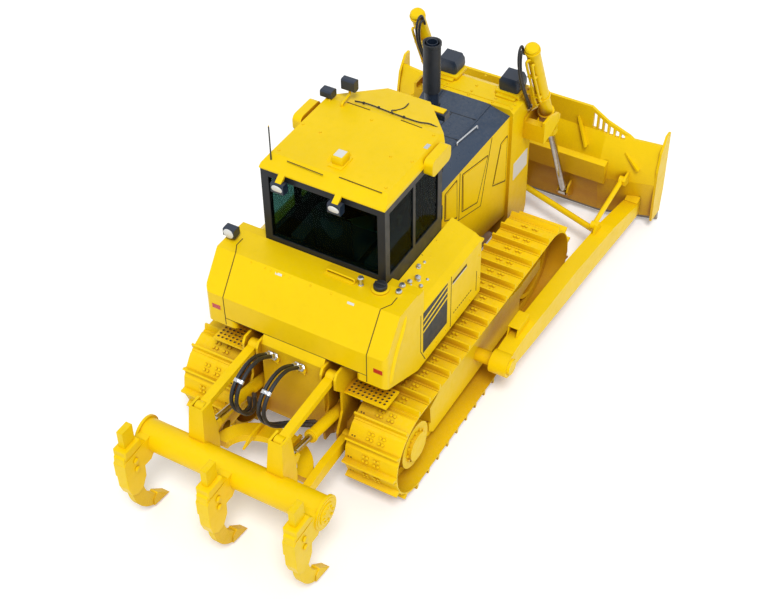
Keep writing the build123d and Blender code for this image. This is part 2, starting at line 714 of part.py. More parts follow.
def fixed_hinges():
    """Knuckles above and below each door barrel, their leaves, and the pins."""
    with BuildPart() as knuckles:
        for low in HINGE_PLACES:
            for start in (low - HINGE_PLAY - HINGE_KNUCKLE, low + HINGE_LENGTH + HINGE_PLAY):
                with BuildSketch(hinge_spot(start)):
                    Circle(HINGE_RADIUS)
                    with Locations((-LEAF_WIDTH / 2, HINGE_LIFT + 0.5 - LEAF_THICKNESS / 2)):
                        Rectangle(LEAF_WIDTH, LEAF_THICKNESS)
                extrude(amount=HINGE_KNUCKLE)
            with BuildSketch(hinge_spot(low - HINGE_KNUCKLE)):
                Circle(HINGE_PIN)
            extrude(amount=HINGE_LENGTH + 2 * HINGE_KNUCKLE)
    return knuckles.part


with BuildPart() as cab_floor:
    with BuildSketch(Plane.XY.offset(DECK_Z)):
        with BuildLine():
            Polyline(*cab_outline(0), close=True)
        make_face()
    extrude(amount=CAB_FLOOR)
keep(cab_floor, "cab_floor")

SIDE_PANE_REAR = CAB_REAR + POST
SIDE_PANE_FRONT = CAB_CORNER - POST
SIDE_MULLION_X = (SIDE_PANE_REAR + SIDE_PANE_FRONT) / 2
REAR_PANE_HALF = CAB_HALF_WIDTH - POST
FRONT_PANE_HALF = CAB_NOSE_HALF_WIDTH - 45
FRONT_PANE_SILL = HOOD_TOP_Z + 40
with BuildPart() as cab_frame:
    with BuildSketch(Plane.XY.offset(DECK_Z + CAB_FLOOR)):
        with BuildLine():
            Polyline(*cab_outline(0), close=True)
        make_face()
        offset(amount=-CAB_WALL, kind=Kind.INTERSECTION, mode=Mode.SUBTRACT)
    extrude(amount=CAB_TOP_Z - DECK_Z - CAB_FLOOR)
    with BuildSketch(Plane.XZ):
        for start, end in ((SIDE_PANE_REAR, SIDE_MULLION_X - MULLION / 2), (SIDE_MULLION_X + MULLION / 2, SIDE_PANE_FRONT)):
            with Locations((ahead((start + end) / 2), (CAB_SILL_Z + 60 + CAB_HEAD_Z) / 2)):
                Rectangle(end - start, CAB_HEAD_Z - CAB_SILL_Z - 60)
    extrude(amount=CAB_HALF_WIDTH + 50, both=True, mode=Mode.SUBTRACT)
    with BuildSketch(across(CAB_REAR - 20)):
        with Locations((0, (CAB_SILL_Z + 80 + CAB_HEAD_Z) / 2)):
            Rectangle(2 * REAR_PANE_HALF, CAB_HEAD_Z - CAB_SILL_Z - 80)
    extrude(amount=CAB_WALL + 40, mode=Mode.SUBTRACT)
    with BuildSketch(across(CAB_NOSE - CAB_WALL - 20)):
        with Locations((0, (FRONT_PANE_SILL + CAB_HEAD_Z) / 2)):
            Rectangle(2 * FRONT_PANE_HALF, CAB_HEAD_Z - FRONT_PANE_SILL)
    extrude(amount=CAB_WALL + 40, mode=Mode.SUBTRACT)
    with BuildPart(mode=Mode.PRIVATE) as doorway:
        with BuildSketch(slant_plane(20)):
            with BuildLine():
                Polyline(*door_outline(DOOR_GAP), close=True)
            make_face()
        extrude(amount=-CAB_WALL - 60)
    add(doorway.part, mode=Mode.SUBTRACT)
    add(mirror(doorway.part, about=Plane.XZ), mode=Mode.SUBTRACT)
    add(fixed_hinges())
    add(mirror(fixed_hinges(), about=Plane.XZ))
keep(cab_frame, "cab_frame")

GLASS_IN = 12.0
with BuildPart() as cab_glass:
    for side in (1, -1):
        for start, end in ((SIDE_PANE_REAR, SIDE_MULLION_X - MULLION / 2), (SIDE_MULLION_X + MULLION / 2, SIDE_PANE_FRONT)):
            with BuildSketch(upright(side * (CAB_HALF_WIDTH - GLASS_IN))):
                with Locations((ahead((start + end) / 2), (CAB_SILL_Z + 60 + CAB_HEAD_Z) / 2)):
                    Rectangle(end - start, CAB_HEAD_Z - CAB_SILL_Z - 60)
            extrude(amount=side * GLASS_THICKNESS)
    with BuildSketch(across(CAB_REAR + GLASS_IN)):
        with Locations((0, (CAB_SILL_Z + 80 + CAB_HEAD_Z) / 2)):
            Rectangle(2 * REAR_PANE_HALF, CAB_HEAD_Z - CAB_SILL_Z - 80)
    extrude(amount=GLASS_THICKNESS)
    with BuildSketch(across(CAB_NOSE - GLASS_IN)):
        with Locations((0, (FRONT_PANE_SILL + CAB_HEAD_Z) / 2)):
            Rectangle(2 * FRONT_PANE_HALF, CAB_HEAD_Z - FRONT_PANE_SILL)
    extrude(amount=-GLASS_THICKNESS)
keep(cab_glass, "cab_glass")

# Cab doors: hinged at the rear corner posts, one each way
with BuildPart() as cab_door_right:
    with BuildSketch(slant_plane()):
        with BuildLine():
            Polyline(*door_outline(), close=True)
        make_face()
        with BuildLine():
            Polyline(*door_glass_outline(DOOR_FRAME), close=True)
        make_face(mode=Mode.SUBTRACT)
    extrude(amount=-DOOR_THICKNESS)
    for low in HINGE_PLACES:
        with BuildSketch(hinge_spot(low)):
            Circle(HINGE_RADIUS)
            with Locations((LEAF_WIDTH / 2, HINGE_LIFT + 0.5 - LEAF_THICKNESS / 2)):
                Rectangle(LEAF_WIDTH, LEAF_THICKNESS)
            Circle(HINGE_PIN + PIN_PLAY, mode=Mode.SUBTRACT)
        extrude(amount=HINGE_LENGTH)
    with BuildSketch(slant_plane(26)):
        with Locations((DOOR_START + DOOR_WIDTH - 34, (DOOR_LOW_Z + CAB_HEAD_Z) / 2 - 150)):
            Rectangle(18, 190)
    extrude(amount=-27)
keep(cab_door_right, "cab_door_right")
with BuildPart() as cab_door_left:
    mirror(cab_door_right.part, about=Plane.XZ)
keep(cab_door_left, "cab_door_left")

with BuildPart() as door_glass_right:
    with BuildSketch(slant_plane(-DOOR_THICKNESS / 2)):
        with BuildLine():
            Polyline(*door_glass_outline(DOOR_FRAME), close=True)
        make_face()
    extrude(amount=-GLASS_THICKNESS)
keep(door_glass_right, "door_glass_right")
with BuildPart() as door_glass_left:
    mirror(door_glass_right.part, about=Plane.XZ)
keep(door_glass_left, "door_glass_left")

# Roof: a six-sided pressing that slopes down at its rear and nose, with its lamp arms and aerial
CORNER_BOX_LENGTH = 380.0
CORNER_BOX_HEIGHT = 190.0
CORNER_BOX_X = 1300.0
ROOF_TOP_Z = CAB_TOP_Z + ROOF_THICKNESS
AERIAL_TOP = 3690.0
REAR_LAMPS = ((300.0, 440.0), (300.0, -200.0))
CORNER_LAMP = (1560.0, 650.0)
NOSE_LAMP = (2020.0, -410.0)
ARM_LAMP_X = 1640.0
ARM_LAMP_Y = 440.0
ARM_LAMP_Z = 3430.0
LAMP_TOP_Z = CAB_TOP_Z - 40
with BuildPart() as cab_roof:
    with BuildSketch(Plane.XY.offset(CAB_TOP_Z)):
        with BuildLine():
            Polyline(
                (ahead(ROOF_REAR), -ROOF_HALF_WIDTH),
                (ahead(ROOF_CORNER), -ROOF_HALF_WIDTH),
                (ahead(ROOF_NOSE), -ROOF_NOSE_HALF_WIDTH),
                (ahead(ROOF_NOSE), ROOF_NOSE_HALF_WIDTH),
                (ahead(ROOF_CORNER), ROOF_HALF_WIDTH),
                (ahead(ROOF_REAR), ROOF_HALF_WIDTH),
                close=True,
            )
        make_face()
    extrude(amount=ROOF_THICKNESS)
    with BuildSketch(Plane.XZ):
        with BuildLine():
            Polyline(
                (ahead(ROOF_REAR), CAB_TOP_Z),
                (ahead(ROOF_REAR), CAB_TOP_Z + 16),
                (ahead(ROOF_CREST_REAR), ROOF_TOP_Z),
                (ahead(ROOF_CREST_FRONT), ROOF_TOP_Z),
                (ahead(ROOF_NOSE), CAB_TOP_Z + 25),
                (ahead(ROOF_NOSE), CAB_TOP_Z),
                close=True,
            )
        make_face()
    extrude(amount=ROOF_HALF_WIDTH + 10, both=True, mode=Mode.INTERSECT)
    with BuildSketch(across(0)):
        with BuildLine():
            Polyline(
                (-ROOF_HALF_WIDTH, CAB_TOP_Z),
                (ROOF_HALF_WIDTH, CAB_TOP_Z),
                (ROOF_HALF_WIDTH, CAB_TOP_Z + 40),
                (ROOF_CROWN_HALF, ROOF_TOP_Z),
                (-ROOF_CROWN_HALF, ROOF_TOP_Z),
                (-ROOF_HALF_WIDTH, CAB_TOP_Z + 40),
                close=True,
            )
        make_face()
    extrude(amount=ROOF_NOSE + 10, mode=Mode.INTERSECT)
    for side in (1, -1):
        with BuildSketch(upright(side * (ROOF_HALF_WIDTH + 46))):
            with Locations((ahead(CORNER_BOX_X), CAB_TOP_Z + 5)):
                RectangleRounded(CORNER_BOX_LENGTH, CORNER_BOX_HEIGHT, 60)
        extrude(amount=50, both=True)
    with BuildSketch(Plane.XY.offset(ROOF_TOP_Z - 2)):
        with Locations((ahead(735), 25)):
            Rectangle(190, 170)
    with BuildSketch(Plane.XY.offset(ROOF_TOP_Z + 62)):
        with Locations((ahead(760), 25)):
            Rectangle(110, 120)
    loft(ruled=True)
    for x, y in REAR_LAMPS:
        with BuildSketch(upright(y)):
            with BuildLine():
                Polyline(
                    (ahead(x - 30), LAMP_TOP_Z),
                    (ahead(x + 30), LAMP_TOP_Z),
                    (ahead(ROOF_REAR), CAB_TOP_Z - 20),
                    (ahead(ROOF_REAR + 8), CAB_TOP_Z),
                    (ahead(ROOF_REAR + 40), CAB_TOP_Z + 20),
                    (ahead(ROOF_REAR), CAB_TOP_Z + 16),
                    close=True,
                )
            make_face()
        extrude(amount=34, both=True)
    with BuildLine(upright(ARM_LAMP_Y)) as arm_path:
        FilletPolyline(
            (ahead(ROOF_CREST_FRONT - 60), ROOF_TOP_Z - 25),
            (ahead(ROOF_CREST_FRONT - 60), ROOF_TOP_Z + 30),
            (ahead(ARM_LAMP_X), ROOF_TOP_Z + 50),
            (ahead(ARM_LAMP_X), ARM_LAMP_Z),
            radius=22,
        )
    with BuildSketch(Plane(origin=arm_path.line @ 0, z_dir=arm_path.line % 0)):
        Circle(15)
    sweep(path=arm_path.line)
    with BuildSketch(Plane.XY.offset(CAB_TOP_Z + 2)):
        with Locations((ahead(CORNER_LAMP[0]), CORNER_LAMP[1])):
            Circle(18)
    extrude(amount=ROOF_THICKNESS + 4)
    with BuildSketch(Plane.XY.offset(CAB_TOP_Z + 2)):
        with BuildLine():
            Polyline(
                (ahead(NOSE_LAMP[0] - 40), -ROOF_NOSE_HALF_WIDTH + 10),
                (ahead(NOSE_LAMP[0] + 40), -ROOF_NOSE_HALF_WIDTH + 10),
                (ahead(NOSE_LAMP[0] + 40), NOSE_LAMP[1] - 40),
                (ahead(NOSE_LAMP[0] - 40), NOSE_LAMP[1] - 40),
                close=True,
            )
        make_face()
    extrude(amount=12)
    with BuildSketch(Plane.XY.offset(CAB_TOP_Z + 2)):
        with Locations((ahead(ROOF_REAR + 90), ROOF_HALF_WIDTH - 90)):
            Circle(6)
    extrude(amount=AERIAL_TOP - CAB_TOP_Z - 2)
keep(cab_roof, "cab_roof")

# Seat and consoles
SEAT_X = 850.0
SEAT_Z = 2080.0
SEAT_WIDTH = 520.0
with BuildPart() as seat:
    with BuildSketch(Plane.XZ):
        with BuildLine():
            Polyline(
                (ahead(SEAT_X - 240), SEAT_Z),
                (ahead(SEAT_X + 290), SEAT_Z + 20),
                (ahead(SEAT_X + 300), SEAT_Z + 130),
                (ahead(SEAT_X - 120), SEAT_Z + 120),
                (ahead(SEAT_X - 230), SEAT_Z + 700),
                (ahead(SEAT_X - 330), SEAT_Z + 700),
                close=True,
            )
        make_face()
    extrude(amount=SEAT_WIDTH / 2, both=True)
    with BuildSketch(Plane.XY.offset(DECK_Z + CAB_FLOOR)):
        with Locations((ahead(SEAT_X), 0)):
            Rectangle(360, 360)
    extrude(amount=SEAT_Z - DECK_Z - CAB_FLOOR + 12)
keep(seat, "operator_seat")

CONSOLE_Y = 430.0
with BuildPart() as consoles:
    for side in (1, -1):
        with BuildSketch(upright(side * CONSOLE_Y)):
            with BuildLine():
                Polyline(
                    (ahead(SEAT_X - 330), DECK_Z + CAB_FLOOR),
                    (ahead(SEAT_X + 330), DECK_Z + CAB_FLOOR),
                    (ahead(SEAT_X + 360), SEAT_Z + 210),
                    (ahead(SEAT_X + 200), SEAT_Z + 260),
                    (ahead(SEAT_X - 330), SEAT_Z + 230),
                    close=True,
                )
            make_face()
        extrude(amount=75, both=True)
        with BuildSketch(Plane.XY.offset(SEAT_Z + 210)):
            with Locations((ahead(SEAT_X + 260), side * CONSOLE_Y)):
                Circle(16)
        extrude(amount=150)
        with BuildSketch(Plane.XY.offset(SEAT_Z + 355)):
            with Locations((ahead(SEAT_X + 260), side * CONSOLE_Y)):
                Circle(30)
        extrude(amount=70)
    with BuildSketch(Plane.XZ):
        with BuildLine():
            Polyline(
                (ahead(CAB_NOSE - 420), DECK_Z + CAB_FLOOR),
                (ahead(CAB_NOSE - CAB_WALL), DECK_Z + CAB_FLOOR),
                (ahead(CAB_NOSE - CAB_WALL), FRONT_PANE_SILL - 20),
                (ahead(CAB_NOSE - 230), FRONT_PANE_SILL + 40),
                (ahead(CAB_NOSE - 330), FRONT_PANE_SILL - 120),
                close=True,
            )
        make_face()
    extrude(amount=170, both=True)
keep(consoles, "cab_consoles")

# Work lamps: two below the rear lip, one on each front corner, one on the arm, one on the tank
TANK_LAMP = (190.0, TANK_HALF_WIDTH - 60)
with BuildPart() as work_lamps:
    for x, y in REAR_LAMPS:
        with BuildSketch(upright(y)):
            with Locations((ahead(x - 8), LAMP_TOP_Z - 60)):
                RectangleRounded(86, 120, 18)
        extrude(amount=72, both=True)
    for (x, y), low in ((CORNER_LAMP, ROOF_TOP_Z + 6), (NOSE_LAMP, CAB_TOP_Z + 2 - 84)):
        with BuildSketch(upright(y)):
            with Locations((ahead(x), low + 42)):
                RectangleRounded(110, 84, 20)
        extrude(amount=66, both=True)
    with BuildSketch(upright(ARM_LAMP_Y)):
        with Locations((ahead(ARM_LAMP_X), ARM_LAMP_Z + 65)):
            RectangleRounded(86, 130, 20)
    extrude(amount=78, both=True)
    with BuildSketch(Plane.XY.offset(TANK_TOP_Z)):
        with Locations((ahead(TANK_LAMP[0]), TANK_LAMP[1])):
            Circle(16)
    extrude(amount=42)
    with BuildSketch(upright(TANK_LAMP[1])):
        with Locations((ahead(TANK_LAMP[0]), TANK_TOP_Z + 40 + 50)):
            RectangleRounded(110, 100, 20)
    extrude(amount=66, both=True)
keep(work_lamps, "work_lamps")

# Steps and grab bars: one set each side
STEP_Z = 1238.0
STEP_THICKNESS = 25.0
FOOT_STEP_Z = 1690.0
GRAB_X = 1805.0
GRAB_Y = 977.0
GRAB_RADIUS = 16.0
BRACKET_OUTER_Y = 555.0
with BuildPart() as rear_steps:
    for side in (1, -1):
        with BuildSketch(Plane.XY.offset(STEP_Z)):
            with Locations((ahead(-118), side * (BRACKET_OUTER_Y + 1040) / 2)):
                Rectangle(268, 1040 - BRACKET_OUTER_Y)
        extrude(amount=STEP_THICKNESS)
        with BuildSketch(upright(side * (BRACKET_OUTER_Y + 150))):
            with BuildLine():
                Polyline(
                    (ahead(-60), STEP_Z + 1),
                    (ahead(10), STEP_Z + 1),
                    (ahead(10), STEP_Z - 60),
                    (ahead(-30), STEP_Z - 60),
                    close=True,
                )
            make_face()
        extrude(amount=150, both=True)
keep(rear_steps, "rear_steps")

with BuildPart() as front_steps:
    for side in (1, -1):
        with BuildSketch(Plane.XY.offset(FOOT_STEP_Z)):
            with Locations((ahead(FENDER_FRONT + 160), side * 875)):
                Rectangle(320, 120)
        extrude(amount=STEP_THICKNESS)
        with BuildSketch(upright(side * 875)):
            with BuildLine():
                Polyline(
                    (ahead(FENDER_FRONT), FOOT_STEP_Z + 1),
                    (ahead(FENDER_FRONT + 240), FOOT_STEP_Z + 1),
                    (ahead(FENDER_FRONT), FOOT_STEP_Z - 150),
                    close=True,
                )
            make_face()
        extrude(amount=12, both=True)
        with BuildLine(upright(side * GRAB_Y)) as bar_path:
            FilletPolyline(
                (ahead(FENDER_FRONT), FENDER_OUTER_TOP - 30),
                (ahead(GRAB_X), FENDER_OUTER_TOP - 30),
                (ahead(GRAB_X), FENDER_BOTTOM + 90),
                (ahead(FENDER_FRONT), FENDER_BOTTOM + 90),
                radius=30,
            )
        with BuildSketch(Plane(origin=bar_path.line @ 0, z_dir=bar_path.line % 0)):
            Circle(GRAB_RADIUS)
        sweep(path=bar_path.line)
keep(front_steps, "front_steps")

# Blade: curved mouldboard with advanced wings, slotted guard, back box, ribs, end plates and lugs
BLADE_HALF = BLADE_WIDTH / 2
EDGE_TOP = BLADE_BOTTOM + EDGE_HEIGHT
BACK_LOW_X = 4910.0
BACK_BULGE_X = 4815.0
BACK_BULGE_Z = 700.0
FACE_DEEP_X = 4848.0
TOP_BACK_X = 4962.0
TOP_FACE_X = 5000.0
RIB_X = 4760.0
RIB_HALF = 1220.0
END_PLATE = 30.0
LUG_THICKNESS = 24.0
LIFT_EYE_RADIUS = 58.0
LIFT_EYE_HALF = 42.0
ARM_TIP_X = 4884.0
STRUT_Z = 330.0
STRUT_RADIUS = 45.0
STRUT_EYE = 60.0
STRUT_INNER = (4700.0, 78.0)
STRUT_OUTER = (4280.0, 1372.0)
BRACE_LOW = (4010.0, 650.0)
BRACE_HIGH = (4830.0, 765.0)
BRACE_Y = 1430.0
BLADE_RIBS = ((923, 1090, 739, 1400, 0, 4985), (1590, 900, 1392, 1080, 100, 4970))
WING_SLOPE = BLADE_WING_ADVANCE / (BLADE_HALF - BLADE_BREAK_Y)
WING_REACH = math.hypot(BLADE_WING_ADVANCE, BLADE_HALF - BLADE_BREAK_Y)


def blade_section():
    """Outline of the mouldboard with the solid box along its foot."""
    with BuildLine() as outline:
        Polyline(
            (ahead(TOP_FACE_X), BLADE_TOP - 300),
            (ahead(TOP_FACE_X + 12), BLADE_TOP),
            (ahead(TOP_BACK_X + 12), BLADE_TOP),
            (ahead(TOP_BACK_X), BLADE_TOP - 300),
        )
        ThreePointArc(
            (ahead(TOP_BACK_X), BLADE_TOP - 300),
            (ahead(4852), 1010),
            (ahead(BACK_BULGE_X), BACK_BULGE_Z),
        )
        Polyline(
            (ahead(BACK_BULGE_X), BACK_BULGE_Z),
            (ahead(BACK_LOW_X), EDGE_TOP),
            (ahead(5036), EDGE_TOP),
        )
        ThreePointArc(
            (ahead(5036), EDGE_TOP),
            (ahead(FACE_DEEP_X + 14), BACK_BULGE_Z + 10),
            (ahead(TOP_FACE_X), BLADE_TOP - 300),
        )
    return outline


def edge_section():
    """Outline of the cutting edge below the mouldboard."""
    return (
        (ahead(BLADE_EDGE_X), BLADE_BOTTOM),
        (ahead(BLADE_EDGE_X - EDGE_THICKNESS), BLADE_BOTTOM),
        (ahead(5036 - 2 * EDGE_THICKNESS), EDGE_TOP),
        (ahead(5036), EDGE_TOP),
    )


def guard_line(y):
    """Height of the guard's rail at this distance from the middle."""
    share = (y - GUARD_START_Y) / (GUARD_END_Y - GUARD_START_Y)
    return BLADE_TOP + share * (GUARD_END_Z - BLADE_TOP)


with BuildPart() as blade:
    with BuildSketch(Plane.XZ):
        add(blade_section().line)
        make_face()
    extrude(amount=BLADE_BREAK_Y, both=True)
    for side in (1, -1):
        with BuildSketch(upright(side * BLADE_BREAK_Y)):
            add(blade_section().line)
            make_face()
        extrude(amount=WING_REACH, dir=(WING_SLOPE, side, 0))
    for side in (1, -1):
        with BuildSketch(across(4400)):
            with BuildLine():
                Polyline(
                    (side * GUARD_START_Y, BLADE_TOP),
                    (side * GUARD_END_Y, GUARD_END_Z),
                    (side * BLADE_HALF, WING_TOP_OUTER),
                    (side * (BLADE_HALF + 20), WING_TOP_OUTER),
                    (side * (BLADE_HALF + 20), BLADE_TOP + 50),
                    (side * GUARD_START_Y, BLADE_TOP + 50),
                    close=True,
                )
            make_face()
            for slot in range(GUARD_SLOTS - 1):
                inner = GUARD_START_Y + 35 + slot * 72
                outer = inner + 44
                with BuildLine():
                    Polyline(
                        (side * inner, 1295 - slot * 12),
                        (side * outer, 1292 - slot * 12),
                        (side * outer, guard_line(outer) - 45),
                        (side * inner, guard_line(inner) - 45),
                        close=True,
                    )
                make_face()
        extrude(amount=1000, mode=Mode.SUBTRACT)
        with BuildSketch(upright(side * (BLADE_HALF - END_PLATE / 2))):
            with BuildLine():
                Polyline(
                    (ahead(5000), EDGE_TOP),
                    (ahead(5252), EDGE_TOP),
                    (ahead(5290), 500),
                    (ahead(5288), 1330),
                    (ahead(5185), 1330),
                    (ahead(5050), 1150),
                    (ahead(4996), 900),
                    close=True,
                )
            make_face()
        extrude(amount=END_PLATE / 2, both=True)
        for lug in (1, -1):
            with BuildSketch(upright(side * LIFT_Y + lug * (LIFT_EYE_HALF + 7 + LUG_THICKNESS / 2))):
                with BuildLine():
                    Polyline(
                        (ahead(4890), 230),
                        (ahead(4890), 520),
                        (ahead(4760), 440),
                        (ahead(4730), 370),
                        (ahead(4760), 300),
                        close=True,
                    )
                make_face()
            extrude(amount=LUG_THICKNESS / 2, both=True)
        with BuildSketch(upright(side * ARM_Y_FRONT)):
            with BuildLine():
                Polyline(
                    (ahead(ARM_TIP_X), 225),
                    (ahead(ARM_TIP_X), 435),
                    (ahead(4985), 470),
                    (ahead(5010), 200),
                    close=True,
                )
            make_face()
        extrude(amount=ARM_WIDTH / 2 - 10, both=True)
        with BuildSketch(upright(side * (BRACE_Y + 45))):
            with BuildLine():
                Polyline(
                    (ahead(BRACE_HIGH[0] - 60), BRACE_HIGH[1] - 30),
                    (ahead(BRACE_HIGH[0] - 20), BRACE_HIGH[1] - 65),
                    (ahead(4925), BRACE_HIGH[1] - 85),
                    (ahead(4925), BRACE_HIGH[1] + 85),
                    (ahead(BRACE_HIGH[0] - 20), BRACE_HIGH[1] + 65),
                    (ahead(BRACE_HIGH[0] - 60), BRACE_HIGH[1] + 30),
                    close=True,
                )
            make_face()
        extrude(amount=15, both=True)
        for low_y, low_z, high_y, high_z, deep, reach in BLADE_RIBS:
            rise = Vector(0, side * (high_y - low_y), high_z - low_z)
            with BuildSketch(Plane(origin=(0, side * low_y, low_z), x_dir=(1, 0, 0), z_dir=Vector(1, 0, 0).cross(rise))):
                with BuildLine():
                    Polyline(
                        (ahead(4800 + deep), 0),
                        (ahead(4900 + deep), 0),
                        (ahead(reach), rise.length),
                        (ahead(reach - 30), rise.length),
                        close=True,
                    )
                make_face()
            extrude(amount=13, both=True)
    with BuildSketch(Plane.XZ):
        with BuildLine():
            Polyline(
                (ahead(RIB_X), 670),
                (ahead(RIB_X), 935),
                (ahead(RIB_X + 90), 965),
                (ahead(RIB_X + 90), 640),
                close=True,
            )
        make_face()
    extrude(amount=RIB_HALF, both=True)
    with BuildSketch(Plane.XZ):
        with BuildLine():
            Polyline(
                (ahead(STRUT_INNER[0] - 70), STRUT_Z - 80),
                (ahead(STRUT_INNER[0] - 70), STRUT_Z - 40),
                (ahead(4900), STRUT_Z - 40),
                (ahead(4920), STRUT_Z - 140),
                (ahead(4820), STRUT_Z - 140),
                close=True,
            )
        make_face()
    extrude(amount=165, both=True)
keep(blade, "blade")

with BuildPart() as cutting_edge:
    with BuildSketch(Plane.XZ):
        with BuildLine():
            Polyline(*edge_section(), close=True)
        make_face()
    extrude(amount=BLADE_BREAK_Y, both=True)
    for side in (1, -1):
        with BuildSketch(upright(side * BLADE_BREAK_Y)):
            with BuildLine():
                Polyline(*edge_section(), close=True)
            make_face()
        extrude(amount=WING_REACH, dir=(WING_SLOPE, side, 0))
keep(cutting_edge, "cutting_edge")

# Push arms: tapered boxes that swing on the trunnions, with lugs for the brace and the strut
ARM_INNER_DROP = 95.0
BOSS_RADIUS = 135.0
with BuildPart() as push_arms:
    for side in (1, -1):
        with BuildSketch(Plane.XY):
            with BuildLine():
                Polyline(
                    (ahead(TRUNNION_X - 60), side * (ARM_Y_REAR - ARM_WIDTH / 2)),
                    (ahead(TRUNNION_X + 200), side * (ARM_Y_REAR - ARM_WIDTH / 2)),
                    (ahead(ARM_TIP_X), side * (ARM_Y_FRONT - ARM_WIDTH / 2)),
                    (ahead(ARM_TIP_X), side * (ARM_Y_FRONT + ARM_WIDTH / 2)),
                    (ahead(TRUNNION_X + 200), side * (ARM_Y_REAR + ARM_WIDTH / 2)),
                    (ahead(TRUNNION_X - 60), side * (ARM_Y_REAR + ARM_WIDTH / 2)),
                    close=True,
                )
            make_face()
        extrude(amount=1200)
    with BuildSketch(Plane.XZ):
        with BuildLine():
            Polyline(
                (ahead(TRUNNION_X - 60), TRUNNION_Z - 100),
                (ahead(TRUNNION_X + 400), TRUNNION_Z - 130),
                (ahead(3600), 300),
                (ahead(ARM_TIP_X), 232),
                (ahead(ARM_TIP_X), 428),
                (ahead(4200), 560),
                (ahead(3200), 640),
                (ahead(TRUNNION_X + 400), TRUNNION_Z + 150),
                (ahead(TRUNNION_X - 60), TRUNNION_Z + 100),
                close=True,
            )
        make_face()
    extrude(amount=BLADE_WIDTH, both=True, mode=Mode.INTERSECT)
    for side in (1, -1):
        with BuildSketch(upright(side * (ARM_Y_REAR - ARM_WIDTH / 2 - 10))):
            with Locations((ahead(TRUNNION_X), TRUNNION_Z)):
                Circle(BOSS_RADIUS)
        extrude(amount=-side * (ARM_WIDTH + 20))
        with BuildSketch(upright(side * (ARM_Y_REAR + ARM_WIDTH / 2))):
            with Locations((ahead(TRUNNION_X), TRUNNION_Z)):
                Circle(ARM_INNER_DROP)
        extrude(amount=-side * 38)
        with BuildSketch(upright(side * (ARM_Y_REAR - ARM_WIDTH / 2 - 10))):
            with Locations((ahead(TRUNNION_X), TRUNNION_Z)):
                Circle(TRUNNION_RADIUS + PIN_CLEARANCE)
        extrude(amount=-side * (ARM_WIDTH - 25), mode=Mode.SUBTRACT)
        with BuildSketch(upright(side * (BRACE_Y + 45))):
            with BuildLine():
                Polyline(
                    (ahead(BRACE_LOW[0] - 110), 540),
                    (ahead(BRACE_LOW[0] - 45), BRACE_LOW[1] + 45),
                    (ahead(BRACE_LOW[0] + 45), BRACE_LOW[1] + 45),
                    (ahead(BRACE_LOW[0] + 110), 540),
                    close=True,
                )
            make_face()
        extrude(amount=15, both=True)
        with BuildSketch(Plane.XY.offset(STRUT_Z - 80)):
            with BuildLine():
                Polyline(
                    (ahead(STRUT_OUTER[0] - 90), side * 1480),
                    (ahead(STRUT_OUTER[0] - 62), side * (STRUT_OUTER[1] - 60)),
                    (ahead(STRUT_OUTER[0] + 62), side * (STRUT_OUTER[1] - 60)),
                    (ahead(STRUT_OUTER[0] + 90), side * 1480),
                    close=True,
                )
            make_face()
        extrude(amount=40)
keep(push_arms, "push_arms")


def rod_between(start, end, radius):
    """Round bar from one place to the other."""
    line = Vector(*end) - Vector(*start)
    with BuildPart() as rod:
        with BuildSketch(Plane(origin=start, z_dir=line)):
            Circle(radius)
        extrude(amount=line.length)
    return rod.part


# Braces from the arms' tops to the wings, and struts from the arms to the blade's middle
with BuildPart() as blade_braces:
    for side in (1, -1):
        ends = (BRACE_LOW, BRACE_HIGH)
        for x, z in ends:
            with BuildSketch(upright(side * BRACE_Y)):
                with Locations((ahead(x), z)):
                    Circle(52)
            extrude(amount=30, both=True)
        foot, head = [(ahead(x), side * BRACE_Y, z) for x, z in ends]
        add(rod_between(foot, head, 30))
keep(blade_braces, "blade_braces")

with BuildPart() as blade_struts:
    for side in (1, -1):
        ends = (STRUT_OUTER, STRUT_INNER)
        for x, y in ends:
            with BuildSketch(Plane.XY.offset(STRUT_Z - 40)):
                with Locations((ahead(x), side * y)):
                    Circle(STRUT_EYE)
            extrude(amount=80)
        foot, head = [(ahead(x), side * y, STRUT_Z) for x, y in ends]
        add(rod_between(foot, head, STRUT_RADIUS - 6))
keep(blade_struts, "blade_struts")

# Lift cylinders: tubes that swing in yokes on the nose, rods down to the blade
YOKE_GAP = 6.0
YOKE_PLATE = 30.0
YOKE_PIN = 36.0
TUBE_WALL = 16.0
ROD_CLEARANCE = 0.5
LIFT_RUN = LIFT_EYE_X - LIFT_YOKE_X
LIFT_FALL = LIFT_YOKE_Z - LIFT_EYE_Z
LIFT_SPAN = math.hypot(LIFT_RUN, LIFT_FALL)
LIFT_DOWN = (LIFT_RUN / LIFT_SPAN, 0, -LIFT_FALL / LIFT_SPAN)


def along_lift(side, distance):
    """Place on a lift cylinder's axis, this far below its yoke."""
    return (
        ahead(LIFT_YOKE_X) + LIFT_DOWN[0] * distance,
        side * LIFT_Y,
        LIFT_YOKE_Z + LIFT_DOWN[2] * distance,
    )


